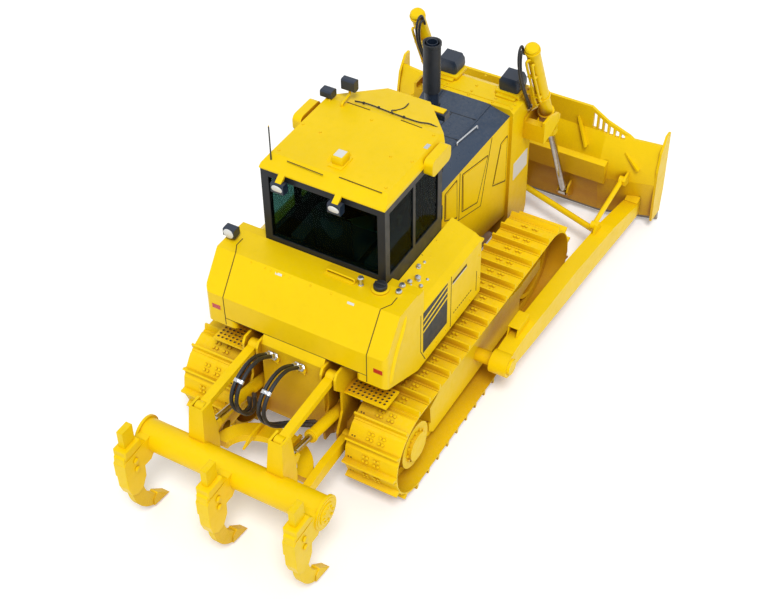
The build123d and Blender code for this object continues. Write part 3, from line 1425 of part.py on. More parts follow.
with BuildPart() as lift_yokes:
    for side in (1, -1):
        inner = LIFT_Y - LIFT_TUBE_RADIUS - 22 - YOKE_GAP
        outer = LIFT_Y + LIFT_TUBE_RADIUS + 22 + YOKE_GAP
        for near, far in ((RADIATOR_HALF, inner), (outer, outer + YOKE_PLATE)):
            with BuildSketch(upright(side * near)):
                with BuildLine():
                    Polyline(
                        (ahead(3700), LIFT_YOKE_Z - 130),
                        (ahead(3700), LIFT_YOKE_Z + 150),
                        (ahead(3850), LIFT_YOKE_Z + 150),
                        (ahead(LIFT_YOKE_X + 20), LIFT_YOKE_Z + 72),
                        (ahead(LIFT_YOKE_X + 72), LIFT_YOKE_Z + 20),
                        (ahead(LIFT_YOKE_X + 72), LIFT_YOKE_Z - 30),
                        (ahead(LIFT_YOKE_X + 20), LIFT_YOKE_Z - 72),
                        (ahead(3900), LIFT_YOKE_Z - 130),
                        close=True,
                    )
                make_face()
            extrude(amount=-side * (far - near))
        with BuildSketch(upright(side * RADIATOR_HALF)):
            with BuildLine():
                Polyline(
                    (ahead(3700), LIFT_YOKE_Z - 130),
                    (ahead(3700), LIFT_YOKE_Z + 90),
                    (ahead(3800), LIFT_YOKE_Z + 90),
                    (ahead(3838), LIFT_YOKE_Z - 130),
                    close=True,
                )
            make_face()
        extrude(amount=-side * (outer + YOKE_PLATE - RADIATOR_HALF))
        with BuildSketch(upright(side * RADIATOR_HALF)):
            with Locations((ahead(LIFT_YOKE_X), LIFT_YOKE_Z)):
                Circle(YOKE_PIN + PIN_CLEARANCE)
        extrude(amount=-side * (outer + YOKE_PLATE - RADIATOR_HALF), mode=Mode.SUBTRACT)
keep(lift_yokes, "lift_yokes")

for name, side in SIDES:
    with BuildPart() as lift_tube:
        with BuildSketch(Plane(origin=along_lift(side, LIFT_TUBE_BELOW), z_dir=LIFT_DOWN)):
            Circle(LIFT_TUBE_RADIUS)
        extrude(amount=-LIFT_TUBE_BELOW - LIFT_TUBE_ABOVE)
        with BuildSketch(Plane(origin=along_lift(side, LIFT_TUBE_BELOW), z_dir=LIFT_DOWN)):
            Circle(LIFT_TUBE_RADIUS + 9)
        extrude(amount=-90)
        with BuildSketch(Plane(origin=along_lift(side, 95), z_dir=LIFT_DOWN)):
            Circle(LIFT_TUBE_RADIUS + 20)
        extrude(amount=-190)
        with BuildSketch(upright(side * LIFT_Y)):
            with Locations((ahead(LIFT_YOKE_X), LIFT_YOKE_Z)):
                Circle(YOKE_PIN)
        extrude(amount=LIFT_TUBE_RADIUS + 22 + YOKE_GAP + YOKE_PLATE - 2, both=True)
        with BuildSketch(Plane(origin=along_lift(side, LIFT_TUBE_BELOW), z_dir=LIFT_DOWN)):
            Circle(LIFT_ROD_RADIUS + ROD_CLEARANCE)
        extrude(amount=-LIFT_TUBE_BELOW - LIFT_TUBE_ABOVE + TUBE_WALL + 20, mode=Mode.SUBTRACT)
    keep(lift_tube, f"lift_tube_{name}")

for name, side in SIDES:
    with BuildPart() as lift_rod:
        with BuildSketch(Plane(origin=along_lift(side, LIFT_SPAN), z_dir=LIFT_DOWN)):
            Circle(LIFT_ROD_RADIUS)
        extrude(amount=-LIFT_ROD_LENGTH)
        with BuildSketch(upright(side * LIFT_Y)):
            with Locations((ahead(LIFT_EYE_X), LIFT_EYE_Z)):
                Circle(LIFT_EYE_RADIUS)
        extrude(amount=LIFT_EYE_HALF, both=True)
    keep(lift_rod, f"lift_rod_{name}")

# Ripper bracket: two plates each side of each upper link, with the fixed pins
BRACKET_PLATES = ((CHASSIS_HALF_WIDTH, 392.0), (528.0, BRACKET_OUTER_Y))
RIPPER_CYLINDER_PIN = 30.0
ARM_INNER_Y = 567.0
ARM_OUTER_Y = 650.0
with BuildPart() as ripper_brackets:
    for side in (1, -1):
        for near, far in BRACKET_PLATES:
            with BuildSketch(upright(side * near)):
                with BuildLine():
                    Polyline(
                        (ahead(-400), 1400),
                        (ahead(-400), 1540),
                        (ahead(-360), 1600),
                        (ahead(50), 1600),
                        (ahead(50), 800),
                        (ahead(-230), 800),
                        (ahead(-230), 575),
                        (ahead(-390), 575),
                        (ahead(-400), 760),
                        (ahead(-290), 1000),
                        (ahead(-290), 1280),
                        close=True,
                    )
                make_face()
            extrude(amount=-side * (far - near))
        with BuildSketch(upright(side * CHASSIS_HALF_WIDTH)):
            with Locations((ahead(20), 1090)):
                Rectangle(60, 560)
        extrude(amount=-side * (BRACKET_OUTER_Y - CHASSIS_HALF_WIDTH))
        with BuildSketch(upright(side * CHASSIS_HALF_WIDTH)):
            with Locations((ahead(RIPPER_FRONT_X), RIPPER_HIGH_PIN_Z)):
                Circle(RIPPER_PIN)
        extrude(amount=-side * (BRACKET_OUTER_Y - CHASSIS_HALF_WIDTH))
        with BuildSketch(upright(side * CHASSIS_HALF_WIDTH)):
            with Locations((ahead(RIPPER_CYLINDER_X), RIPPER_CYLINDER_Z)):
                Circle(RIPPER_CYLINDER_PIN)
        extrude(amount=-side * (BRACKET_OUTER_Y - CHASSIS_HALF_WIDTH))
        with BuildSketch(upright(side * BRACKET_PLATES[1][0])):
            with Locations((ahead(RIPPER_FRONT_X), RIPPER_LOW_PIN_Z)):
                Circle(RIPPER_PIN)
        extrude(amount=-side * (ARM_OUTER_Y + 6 - BRACKET_PLATES[1][0]))
keep(ripper_brackets, "ripper_brackets")

# Ripper frame: two lower arms joined by a cross tube
RIPPER_REAR_X = RIPPER_FRONT_X - RIPPER_REACH
RIPPER_REAR_LOW_Z = RIPPER_LOW_PIN_Z - RIPPER_DROP
RIPPER_REAR_HIGH_Z = RIPPER_HIGH_PIN_Z - RIPPER_DROP
CROSS_TUBE_X = -790.0
CROSS_TUBE_Z = 650.0
CROSS_TUBE_RADIUS = 70.0
ARM_EYE = 74.0
with BuildPart() as ripper_frame:
    for side in (1, -1):
        with BuildSketch(upright(side * ARM_INNER_Y)):
            with BuildLine():
                Polyline(
                    (ahead(RIPPER_FRONT_X), RIPPER_LOW_PIN_Z - 62),
                    (ahead(RIPPER_REAR_X), RIPPER_REAR_LOW_Z - 62),
                    (ahead(RIPPER_REAR_X), RIPPER_REAR_LOW_Z + 62),
                    (ahead(CROSS_TUBE_X), CROSS_TUBE_Z + 100),
                    (ahead(RIPPER_FRONT_X), RIPPER_LOW_PIN_Z + 62),
                    close=True,
                )
            make_face()
            with Locations((ahead(RIPPER_FRONT_X), RIPPER_LOW_PIN_Z), (ahead(RIPPER_REAR_X), RIPPER_REAR_LOW_Z)):
                Circle(ARM_EYE)
                Circle(RIPPER_PIN + PIN_CLEARANCE, mode=Mode.SUBTRACT)
        extrude(amount=-side * (ARM_OUTER_Y - ARM_INNER_Y))
    with BuildSketch(Plane.XZ):
        with Locations((ahead(CROSS_TUBE_X), CROSS_TUBE_Z)):
            Circle(CROSS_TUBE_RADIUS)
    extrude(amount=ARM_INNER_Y + 5, both=True)
keep(ripper_frame, "ripper_frame")

# Upper links of the ripper
LINK_HALF_WIDTH = 48.0
LINK_HALF_DEPTH = 36.0
LINK_EYE = 70.0
for name, side in SIDES:
    with BuildPart() as ripper_link:
        with BuildSketch(upright(side * RIPPER_LINK_Y)):
            with BuildLine():
                Polyline(
                    (ahead(RIPPER_FRONT_X), RIPPER_HIGH_PIN_Z - LINK_HALF_DEPTH),
                    (ahead(RIPPER_REAR_X), RIPPER_REAR_HIGH_Z - LINK_HALF_DEPTH),
                    (ahead(RIPPER_REAR_X), RIPPER_REAR_HIGH_Z + LINK_HALF_DEPTH),
                    (ahead(RIPPER_FRONT_X), RIPPER_HIGH_PIN_Z + LINK_HALF_DEPTH),
                    close=True,
                )
            make_face()
            with Locations((ahead(RIPPER_FRONT_X), RIPPER_HIGH_PIN_Z), (ahead(RIPPER_REAR_X), RIPPER_REAR_HIGH_Z)):
                Circle(LINK_EYE)
                Circle(RIPPER_PIN + PIN_CLEARANCE, mode=Mode.SUBTRACT)
        extrude(amount=LINK_HALF_WIDTH, both=True)
    keep(ripper_link, f"ripper_link_{name}")

# Ripper beam: cross tube, two towers with their pins, three pockets for the shanks
TOWER_BASE_HALF = 100.0
TOWER_TOP_HALF = 80.0
TOWER_TOP_Z = 1512.0
SLOT_HALF = LINK_HALF_WIDTH + 6
CHEEK_GAP = 56.0
CHEEK = 20.0
POCKET_REAR = -1990.0
POCKET_FRONT = -1540.0
POCKET_LOW_Z = 760.0
POCKET_TOP_Z = 1050.0
SHANK_FRONT = -1745.0
SHANK_REAR = -1905.0
SHANK_PLACES = (-SHANK_PITCH, 0.0, SHANK_PITCH)
with BuildPart() as ripper_beam:
    with BuildSketch(Plane.XZ):
        with Locations((ahead(RIPPER_BEAM_X), RIPPER_BEAM_Z)):
            Circle(RIPPER_BEAM_RADIUS)
    extrude(amount=RIPPER_BEAM_HALF, both=True)
    for side in (1, -1):
        with BuildSketch(upright(side * (RIPPER_BEAM_HALF - 20))):
            with Locations((ahead(RIPPER_BEAM_X), RIPPER_BEAM_Z)):
                Circle(RIPPER_BEAM_RADIUS + 26)
        extrude(amount=14, both=True)
        with BuildPart(mode=Mode.PRIVATE) as tower:
            with BuildSketch(Plane.XZ):
                with BuildLine():
                    Polyline(
                        (ahead(-1352), TOWER_TOP_Z),
                        (ahead(-1200), TOWER_TOP_Z),
                        (ahead(-1178), 1240),
                        (ahead(-1165), 950),
                        (ahead(-1192), 560),
                        (ahead(-1345), 556),
                        (ahead(-1400), 760),
                        (ahead(-1420), 950),
                        close=True,
                    )
                make_face()
            extrude(amount=RIPPER_BEAM_HALF, both=True)
            with BuildSketch(across(-1800)):
                with BuildLine():
                    Polyline(
                        (side * (RIPPER_LINK_Y - TOWER_BASE_HALF), 500),
                        (side * (RIPPER_LINK_Y + TOWER_BASE_HALF), 500),
                        (side * (RIPPER_LINK_Y + TOWER_BASE_HALF), 1000),
                        (side * (RIPPER_LINK_Y + TOWER_TOP_HALF), TOWER_TOP_Z + 10),
                        (side * (RIPPER_LINK_Y - TOWER_TOP_HALF), TOWER_TOP_Z + 10),
                        (side * (RIPPER_LINK_Y - TOWER_BASE_HALF), 1000),
                        close=True,
                    )
                make_face()
            extrude(amount=900, mode=Mode.INTERSECT)
            with BuildSketch(upright(side * RIPPER_LINK_Y)):
                with BuildLine():
                    Polyline(
                        (ahead(-1343), TOWER_TOP_Z + 20),
                        (ahead(-1343), 1330),
                        (ahead(-1260), 1262),
                        (ahead(-1100), 1262),
                        (ahead(-1100), TOWER_TOP_Z + 20),
                        close=True,
                    )
                make_face()
            extrude(amount=SLOT_HALF, both=True, mode=Mode.SUBTRACT)
            with BuildSketch(upright(side * RIPPER_LINK_Y)):
                with Locations((ahead(-1150), RIPPER_EYE_Z + 20)):
                    Rectangle(120, 230)
            extrude(amount=CHEEK_GAP, both=True, mode=Mode.SUBTRACT)
        add(tower.part)
        with BuildSketch(upright(side * RIPPER_LINK_Y)):
            with Locations((ahead(RIPPER_REAR_X), RIPPER_REAR_HIGH_Z)):
                Circle(RIPPER_PIN)
        extrude(amount=TOWER_TOP_HALF + 4, both=True)
        with BuildSketch(upright(side * (RIPPER_LINK_Y + TOWER_BASE_HALF - 10))):
            with Locations((ahead(RIPPER_REAR_X), RIPPER_REAR_LOW_Z)):
                Circle(RIPPER_PIN)
        extrude(amount=-side * (ARM_OUTER_Y + 6 - RIPPER_LINK_Y - TOWER_BASE_HALF + 10))
        for hand in (1, -1):
            with BuildSketch(upright(side * RIPPER_LINK_Y + hand * (CHEEK_GAP + CHEEK / 2))):
                with BuildLine():
                    Polyline(
                        (ahead(-1215), RIPPER_EYE_Z - 100),
                        (ahead(RIPPER_EYE_X - 20), RIPPER_EYE_Z - 50),
                        (ahead(RIPPER_EYE_X + 28), RIPPER_EYE_Z - 10),
                        (ahead(RIPPER_EYE_X + 10), RIPPER_EYE_Z + 36),
                        (ahead(-1215), RIPPER_EYE_Z + 90),
                        close=True,
                    )
                make_face()
            extrude(amount=CHEEK / 2, both=True)
    for y in SHANK_PLACES:
        with BuildSketch(upright(y)):
            with BuildLine():
                Polyline(
                    (ahead(POCKET_FRONT), POCKET_LOW_Z + 60),
                    (ahead(POCKET_FRONT - 60), POCKET_LOW_Z),
                    (ahead(POCKET_REAR + 40), POCKET_LOW_Z + 10),
                    (ahead(POCKET_REAR), POCKET_LOW_Z + 60),
                    (ahead(POCKET_REAR), POCKET_TOP_Z - 40),
                    (ahead(POCKET_REAR + 30), POCKET_TOP_Z),
                    (ahead(POCKET_FRONT), POCKET_TOP_Z + 20),
                    close=True,
                )
            make_face()
        extrude(amount=SHANK_THICKNESS / 2 + 34, both=True)
    for y in SHANK_PLACES:
        with BuildSketch(Plane.XY.offset(POCKET_LOW_Z - 60)):
            with Locations((ahead((SHANK_FRONT + SHANK_REAR) / 2), y)):
                Rectangle(SHANK_FRONT - SHANK_REAR + 12, SHANK_THICKNESS)
        extrude(amount=POCKET_TOP_Z - POCKET_LOW_Z + 160, mode=Mode.SUBTRACT)
keep(ripper_beam, "ripper_beam")

# Shanks: straight heads that curve forward into pointed teeth
with BuildPart() as ripper_shanks:
    for y in SHANK_PLACES:
        with BuildSketch(upright(y)):
            with BuildLine():
                Polyline((ahead(SHANK_FRONT), 560), (ahead(SHANK_FRONT), 1400), (ahead(SHANK_REAR), 1400), (ahead(SHANK_REAR), 620))
                ThreePointArc((ahead(SHANK_REAR), 620), (ahead(-1842), 262), (ahead(-1640), 62))
                Polyline((ahead(-1640), 62), (ahead(-1400), SHANK_BOTTOM), (ahead(-1560), 165))
                ThreePointArc((ahead(-1560), 165), (ahead(-1700), 330), (ahead(SHANK_FRONT), 560))
            make_face()
        extrude(amount=SHANK_THICKNESS / 2, both=True)
        with BuildSketch(upright(y)):
            with BuildLine():
                Polyline(
                    (ahead(-1400), SHANK_BOTTOM),
                    (ahead(-1570), 190),
                    (ahead(-1640), 150),
                    (ahead(-1650), 62),
                    close=True,
                )
            make_face()
        extrude(amount=SHANK_THICKNESS / 2 + 12, both=True)
keep(ripper_shanks, "ripper_shanks")

# Ripper cylinders between the bracket and the towers
RIPPER_RUN = RIPPER_EYE_X - RIPPER_CYLINDER_X
RIPPER_RISE = RIPPER_EYE_Z - RIPPER_CYLINDER_Z
RIPPER_SPAN = math.hypot(RIPPER_RUN, RIPPER_RISE)
RIPPER_OUT = (RIPPER_RUN / RIPPER_SPAN, 0, RIPPER_RISE / RIPPER_SPAN)
RIPPER_TUBE_LENGTH = 690.0
RIPPER_ROD_LENGTH = 660.0
TUBE_EYE = 60.0
ROD_EYE = 44.0
ROD_EYE_HALF = 40.0


def along_ripper(side, distance):
    """Place on a ripper cylinder's axis, this far behind its front pin."""
    return (
        ahead(RIPPER_CYLINDER_X) + RIPPER_OUT[0] * distance,
        side * RIPPER_LINK_Y,
        RIPPER_CYLINDER_Z + RIPPER_OUT[2] * distance,
    )


for name, side in SIDES:
    with BuildPart() as ripper_tube:
        with BuildSketch(Plane(origin=along_ripper(side, 30), z_dir=RIPPER_OUT)):
            Circle(RIPPER_TUBE_RADIUS)
        extrude(amount=RIPPER_TUBE_LENGTH - 30)
        with BuildSketch(upright(side * RIPPER_LINK_Y)):
            with Locations((ahead(RIPPER_CYLINDER_X), RIPPER_CYLINDER_Z)):
                Circle(TUBE_EYE)
        extrude(amount=RIPPER_TUBE_RADIUS, both=True)
        with BuildSketch(upright(side * RIPPER_LINK_Y)):
            with Locations((ahead(RIPPER_CYLINDER_X), RIPPER_CYLINDER_Z)):
                Circle(RIPPER_CYLINDER_PIN + PIN_CLEARANCE)
        extrude(amount=RIPPER_TUBE_RADIUS + 5, both=True, mode=Mode.SUBTRACT)
        with BuildSketch(Plane(origin=along_ripper(side, RIPPER_TUBE_LENGTH), z_dir=RIPPER_OUT)):
            Circle(RIPPER_ROD_RADIUS + ROD_CLEARANCE)
        extrude(amount=-RIPPER_TUBE_LENGTH + 80, mode=Mode.SUBTRACT)
    keep(ripper_tube, f"ripper_tube_{name}")

for name, side in SIDES:
    with BuildPart() as ripper_rod:
        with BuildSketch(Plane(origin=along_ripper(side, RIPPER_SPAN), z_dir=RIPPER_OUT)):
            Circle(RIPPER_ROD_RADIUS)
        extrude(amount=-RIPPER_ROD_LENGTH)
        with BuildSketch(upright(side * RIPPER_LINK_Y)):
            with Locations((ahead(RIPPER_EYE_X), RIPPER_EYE_Z)):
                Circle(ROD_EYE)
        extrude(amount=ROD_EYE_HALF, both=True)
    keep(ripper_rod, f"ripper_rod_{name}")
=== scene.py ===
"""Crawler bulldozer with a ripper: paint, glass, rubber, hoses, seat and small fittings on the CAD model."""

import math

import bmesh
import bpy
import numpy as np
from bpy.props import FloatProperty, FloatVectorProperty, IntProperty, PointerProperty
from mathutils import Matrix, Quaternion, Vector


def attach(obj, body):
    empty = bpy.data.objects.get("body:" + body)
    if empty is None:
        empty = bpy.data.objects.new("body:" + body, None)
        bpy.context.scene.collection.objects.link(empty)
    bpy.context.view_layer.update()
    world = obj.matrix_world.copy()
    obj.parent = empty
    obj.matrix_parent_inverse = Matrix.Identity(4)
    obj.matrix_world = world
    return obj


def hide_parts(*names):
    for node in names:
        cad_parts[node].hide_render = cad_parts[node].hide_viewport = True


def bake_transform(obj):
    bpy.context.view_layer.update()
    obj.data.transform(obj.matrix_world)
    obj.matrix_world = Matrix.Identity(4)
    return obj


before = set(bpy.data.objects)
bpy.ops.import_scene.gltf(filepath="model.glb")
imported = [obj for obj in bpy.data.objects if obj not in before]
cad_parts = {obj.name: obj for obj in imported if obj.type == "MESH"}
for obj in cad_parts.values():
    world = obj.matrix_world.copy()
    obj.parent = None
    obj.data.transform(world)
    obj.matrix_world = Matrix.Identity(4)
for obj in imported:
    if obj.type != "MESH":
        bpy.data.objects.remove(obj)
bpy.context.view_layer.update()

bl_info = {
    "name": "Crawler bulldozer",
    "version": (1, 0, 0),
    "blender": (4, 5, 0),
    "location": "3D Viewport > Sidebar > Bulldozer",
    "description": "Paints a crawler bulldozer and fits its hoses, seat, lamps, seams and small parts",
    "category": "Object",
}

# Millimetres from the sprocket's centre to the middle of the model, along the machine
SPROCKET_TO_MIDDLE = 1650.0
# Sizes of the CAD model that several pieces sit on, in millimetres
TRACK_CENTRE, SHOE_PITCH, TRACK_ON_GROUND = 1000.0, 216.0, 3050.0
CHAIN_TO_SHOE, GROUSER = 73.0, 65.0
SPROCKET_HEIGHT, HUB_FACE = 576.7, 1232.0
TANK_REAR_FACE, TANK_SIDE, TANK_TOP, TREAD_TOP = -272.5, 1060.0, 2311.0, 1263.0
HOOD_TOP, ROOF_TOP = 2399.0, 3325.0
BOTH_SIDES = (("left", 1), ("right", -1))


# ---------------------------------------------------------------- colours
def linear(hex_colour):
    """A colour written as #RRGGBB, turned into Blender's linear red, green and blue."""
    parts = np.array([int(hex_colour[i : i + 2], 16) for i in (1, 3, 5)]) / 255
    return tuple(np.where(parts <= 0.04045, parts / 12.92, ((parts + 0.055) / 1.055) ** 2.4))


def colour_setting(name, hex_colour, description):
    """A colour that the user can change, written as #RRGGBB."""
    return FloatVectorProperty(
        name=name, description=description, subtype="COLOR", size=3, min=0, max=1, default=linear(hex_colour)
    )


class BulldozerFinish(bpy.types.PropertyGroup):
    """Paint and cloth colours, and how worn the paint is"""

    body_paint: colour_setting("Body paint", "#FCD500", "Yellow of the machine's steelwork")
    hood_paint: colour_setting("Hood paint", "#3C4A5E", "Dark blue grey of the hood's top and the lamps")
    cab_paint: colour_setting("Cab paint", "#23262A", "Charcoal of the cab's posts and doors")
    panel_dark: colour_setting("Side panel", "#1F2A33", "Dark ground of the striped side panel")
    seat_cloth: colour_setting("Seat cloth", "#3B4046", "Woven cover of the operator's seat")
    wear: FloatProperty(
        name="Wear", description="How far edges and shoes are rubbed", default=0.35, min=0, max=1, subtype="FACTOR"
    )


def length_setting(name, default, low, high, description):
    """A length in metres that the user can change between low and high."""
    return FloatProperty(
        name=name, description=description, default=default, min=low, max=high, unit="LENGTH", subtype="DISTANCE"
    )


class BulldozerFittings(bpy.types.PropertyGroup):
    """Sizes of the hoses, bolts and seams"""

    hose_size: length_setting("Hose size", 0.042, 0.02, 0.08, "Outer diameter of the ripper's hoses")
    bolt_size: length_setting("Bolt size", 0.030, 0.01, 0.06, "Width of a shoe bolt's head")
    seam_width: length_setting("Seam width", 0.009, 0.002, 0.02, "Width of the dark gaps between panels")
    shoes: IntProperty(name="Shoes", description="Shoes in each track", default=41, min=20, max=60)


class BulldozerStage(bpy.types.PropertyGroup):
    """Strength of the light, and the camera's lens"""

    sky: FloatProperty(name="Sky", description="Strength of the soft light all round", default=0.50, min=0, max=3)
    sun: FloatProperty(name="Sun", description="Strength of the main soft lamp", default=1.85, min=0, max=10)
    lens: FloatProperty(
        name="Lens", description="Focal length of the camera", default=68.9216, min=10, max=300, unit="CAMERA"
    )


# ---------------------------------------------------------------- shapes
def at(points):
    """Millimetres (ahead of the sprocket, to the left, up) as metres in the model's frame."""
    found = np.array(points, float).reshape(-1, 3)
    found[:, 0] -= SPROCKET_TO_MIDDLE
    return found / 1000


def net(rows, columns, round_rows=False, round_columns=False):
    """Faces of a grid of rows x columns points, closed round either way where asked."""
    i, j = np.meshgrid(np.arange(rows - (not round_rows)), np.arange(columns - (not round_columns)), indexing="ij")
    up, along = (i + 1) % rows, (j + 1) % columns
    corners = (i * columns + j, up * columns + j, up * columns + along, i * columns + along)
    return np.stack(corners, -1).reshape(-1, 4).tolist()


def block(low, high, edge=6.0, steps=2):
    """A box with rounded edges in millimetres: four corner arcs of radius edge*cos(f), centred edge inside each
    corner, at heights that run through edge*sin(f) at the bottom and the top."""
    low, high = np.minimum(low, high).astype(float), np.maximum(low, high).astype(float)
    edge = min(edge, 0.49 * (high - low).min())
    f = np.radians(np.linspace(0, 90, steps + 1))
    heights = np.r_[low[2] + edge - edge * np.sin(f[::-1]), high[2] - edge + edge * np.sin(f)]
    radii = np.r_[np.cos(f[::-1]), np.cos(f)] * edge
    turn = np.radians(np.linspace(0, 90, steps + 1))[None, :] + np.radians([0, 90, 180, 270])[:, None]
    corner = np.array([[high[0] - edge, high[1] - edge], [low[0] + edge, high[1] - edge],
                       [low[0] + edge, low[1] + edge], [high[0] - edge, low[1] + edge]])
    x = corner[:, None, 0][None] + radii[:, None, None] * np.cos(turn)[None]
    y = corner[:, None, 1][None] + radii[:, None, None] * np.sin(turn)[None]
    rows, columns = len(heights), turn.size
    x, y = x.reshape(rows, columns), y.reshape(rows, columns)
    verts = np.stack([x, y, np.repeat(heights[:, None], columns, 1)], -1)
    faces = net(rows, columns, round_columns=True)
    faces += [list(range(columns))[::-1], list(range((rows - 1) * columns, rows * columns))]
    return verts.reshape(-1, 3), faces


def turned(profile, sides=24, ring=False):
    """A profile of (radius, height) pairs turned about the upright axis: x = r*cos(a), y = r*sin(a). A ring's profile
    is a loop, and anything else is closed by a flat at each end."""
    profile = np.array(profile, float)
    a = np.linspace(0, 2 * np.pi, sides, endpoint=False)
    radius, height = profile[:, :1], np.repeat(profile[:, 1:], sides, 1)
    verts = np.stack([radius * np.cos(a), radius * np.sin(a), height], -1)
    faces = net(len(profile), sides, round_rows=ring, round_columns=True)
    if not ring:
        faces += [list(range(sides))[::-1], list(range((len(profile) - 1) * sides, len(profile) * sides))]
    return verts.reshape(-1, 3), faces


def axes_for(outward, forward=(1, 0, 0)):
    """Three rows: forward made square to outward, the third side, and outward itself."""
    out = np.array(outward, float) / np.linalg.norm(outward)
    side = np.cross(out, forward)
    if np.linalg.norm(side) < 1e-6:
        side = np.cross(out, (0, 1, 0))
    side /= np.linalg.norm(side)
    return np.stack([np.cross(side, out), side, out])


def stood(shape, place, outward=(0, 0, 1), forward=(1, 0, 0)):
    """The shape with its upright axis turned to outward, moved to place: p = place + shape @ axes."""
    verts, faces = shape
    return verts @ axes_for(outward, forward) + np.array(place, float), faces


def repeated(shape, places, outwards, forward=(1, 0, 0)):
    """One shape at many places, as whole arrays: each copy is place + shape @ its own axes."""
    verts, faces = shape
    places = np.array(places, float).reshape(-1, 3)
    outwards = np.broadcast_to(np.array(outwards, float), places.shape)
    axes = np.stack([axes_for(o, forward) for o in outwards])
    all_verts = np.einsum("vk,nkj->nvj", verts, axes) + places[:, None]
    step = len(verts)
    return all_verts.reshape(-1, 3), [[step * n + k for k in face] for n in range(len(places)) for face in faces]


def carried(profile, path, over=(0, 0, 1), sizes=None, closed=False):
    """A flat profile (side, over) carried along a path: p = path + s*(u*side + v*above), where side is square to the
    path and to over, and above is square to both."""
    path, profile = np.array(path, float), np.array(profile, float)
    along = np.roll(path, -1, 0) - np.roll(path, 1, 0) if closed else np.gradient(path, axis=0)
    along /= np.linalg.norm(along, axis=1, keepdims=True)
    side = np.cross(along, over)
    side /= np.linalg.norm(side, axis=1, keepdims=True)
    above = np.cross(side, along)
    s = np.ones(len(path)) if sizes is None else np.array(sizes, float)
    across = profile[None, :, :1] * side[:, None] + profile[None, :, 1:] * above[:, None]
    verts = path[:, None] + s[:, None, None] * across
    columns = len(profile)
    faces = net(len(path), columns, round_rows=closed, round_columns=True)
    if not closed:
        faces += [list(range(columns))[::-1], list(range((len(path) - 1) * columns, len(path) * columns))]
    return verts.reshape(-1, 3), faces


def circle(radius, sides=12):
    """Points of a round profile: (r*cos(a), r*sin(a))."""
    a = np.linspace(0, 2 * np.pi, sides, endpoint=False)
    return np.stack([radius * np.cos(a), radius * np.sin(a)], -1)


def rectangle(width, height):
    """Corners of a flat bar's profile: half the width and half the height either way."""
    return np.array([(-width, -height), (width, -height), (width, height), (-width, height)], float) / 2


def eased(points, steps=8):
    """A smooth path through points: a Catmull-Rom curve, the cubic blend of each four neighbours."""
    p = np.array(points, float)
    p = np.vstack([2 * p[0] - p[1], p, 2 * p[-1] - p[-2]])
    t = np.linspace(0, 1, steps, endpoint=False)[None, :, None]
    a, b, c, d = (p[k : len(p) - 3 + k][:, None] for k in range(4))
    curve = 0.5 * (2 * b + (c - a) * t + (2 * a - 5 * b + 4 * c - d) * t**2 + (3 * b - a - 3 * c + d) * t**3)
    return np.vstack([curve.reshape(-1, 3), p[-2]])


def plate(outline, thickness, to_space):
    """A flat outline given thickness: the outline at heights 0 and thickness, through to_space(u, v, height)."""
    outline = np.array(outline, float)
    n = len(outline)
    low, high = to_space(outline[:, 0], outline[:, 1], 0.0), to_space(outline[:, 0], outline[:, 1], thickness)
    faces = net(2, n, round_columns=True) + [list(range(n))[::-1], list(range(n, 2 * n))]
    return np.vstack([low, high]), faces


def standing(outline, thickness, y, outward=1):
    """A plate that stands lengthwise: its outline in (ahead, up) at y, and its thickness towards outward."""
    return plate(outline, thickness, lambda u, v, h: np.stack(np.broadcast_arrays(u, y + outward * h, v), -1))


def lying(outline, thickness, z):
    """A plate that lies flat: its outline in (ahead, left) at z, and its thickness upwards."""
    return plate(outline, thickness, lambda u, v, h: np.stack(np.broadcast_arrays(u, v, z + h), -1))


def hex_head(across, height):
    """A bolt's head: a washer ring, six flats and a chamfered top, as a turned profile of six sides. Its corners lie
    at the width across the flats over the root of three."""
    r = across * 0.577
    washer, head = [(r * 1.18, 0), (r * 1.18, height * 0.15)], [(r, height * 0.15), (r, height * 0.85)]
    return turned([*washer, *head, (r * 0.84, height)], 6)


# Points closer than this many metres become one, and a smooth piece stays sharp at edges over this angle
SAME_POINT, SHARP_ANGLE = 2e-5, math.radians(38)
PAINT_SLOTS = {"yellow": "yellow_paint", "deep_shade": "yellow_paint"}


def piece(name, shapes, finish, body="tractor", slot=None, smooth=False, in_metres=False):
    """Joins shapes in millimetres ahead, left and up into one mesh in the model's frame, with its faces outwards. The
    finish is a key of FINISHES or a material. The slot, or the paint's slot when none is given, is worked out and not
    used."""
    firsts = np.cumsum([0] + [len(verts) for verts, _ in shapes]).tolist()
    points = np.vstack([verts for verts, _ in shapes])
    faces = [[first + k for k in face] for first, (_, own) in zip(firsts, shapes) for face in own]
    mesh = bpy.data.meshes.new(name)
    mesh.from_pydata((points if in_metres else at(points)).tolist(), [], faces)
    work = bmesh.new()
    work.from_mesh(mesh)
    bmesh.ops.remove_doubles(work, verts=work.verts, dist=SAME_POINT)
    bmesh.ops.recalc_face_normals(work, faces=work.faces)
    work.to_mesh(mesh)
    work.free()
    mesh.materials.append(FINISHES[finish] if isinstance(finish, str) else finish)
    mesh.polygons.foreach_set("use_smooth", [smooth] * len(mesh.polygons))
    if smooth:
        mesh.set_sharp_from_angle(angle=SHARP_ANGLE)
    made = bpy.data.objects.new(name, mesh)
    bpy.context.scene.collection.objects.link(made)
    if body:
        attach(made, body)
    slot = slot or PAINT_SLOTS.get(finish)
    return made


# ---------------------------------------------------------------- materials
# Settings of the nodes that are used most. A colour mix takes its share at 0 and its two colours at 6 and 7.
MIX = {"output": 2, "data_type": "RGBA"}
TIMES = {"operation": "MULTIPLY"}
LARGER = {"operation": "MAXIMUM"}


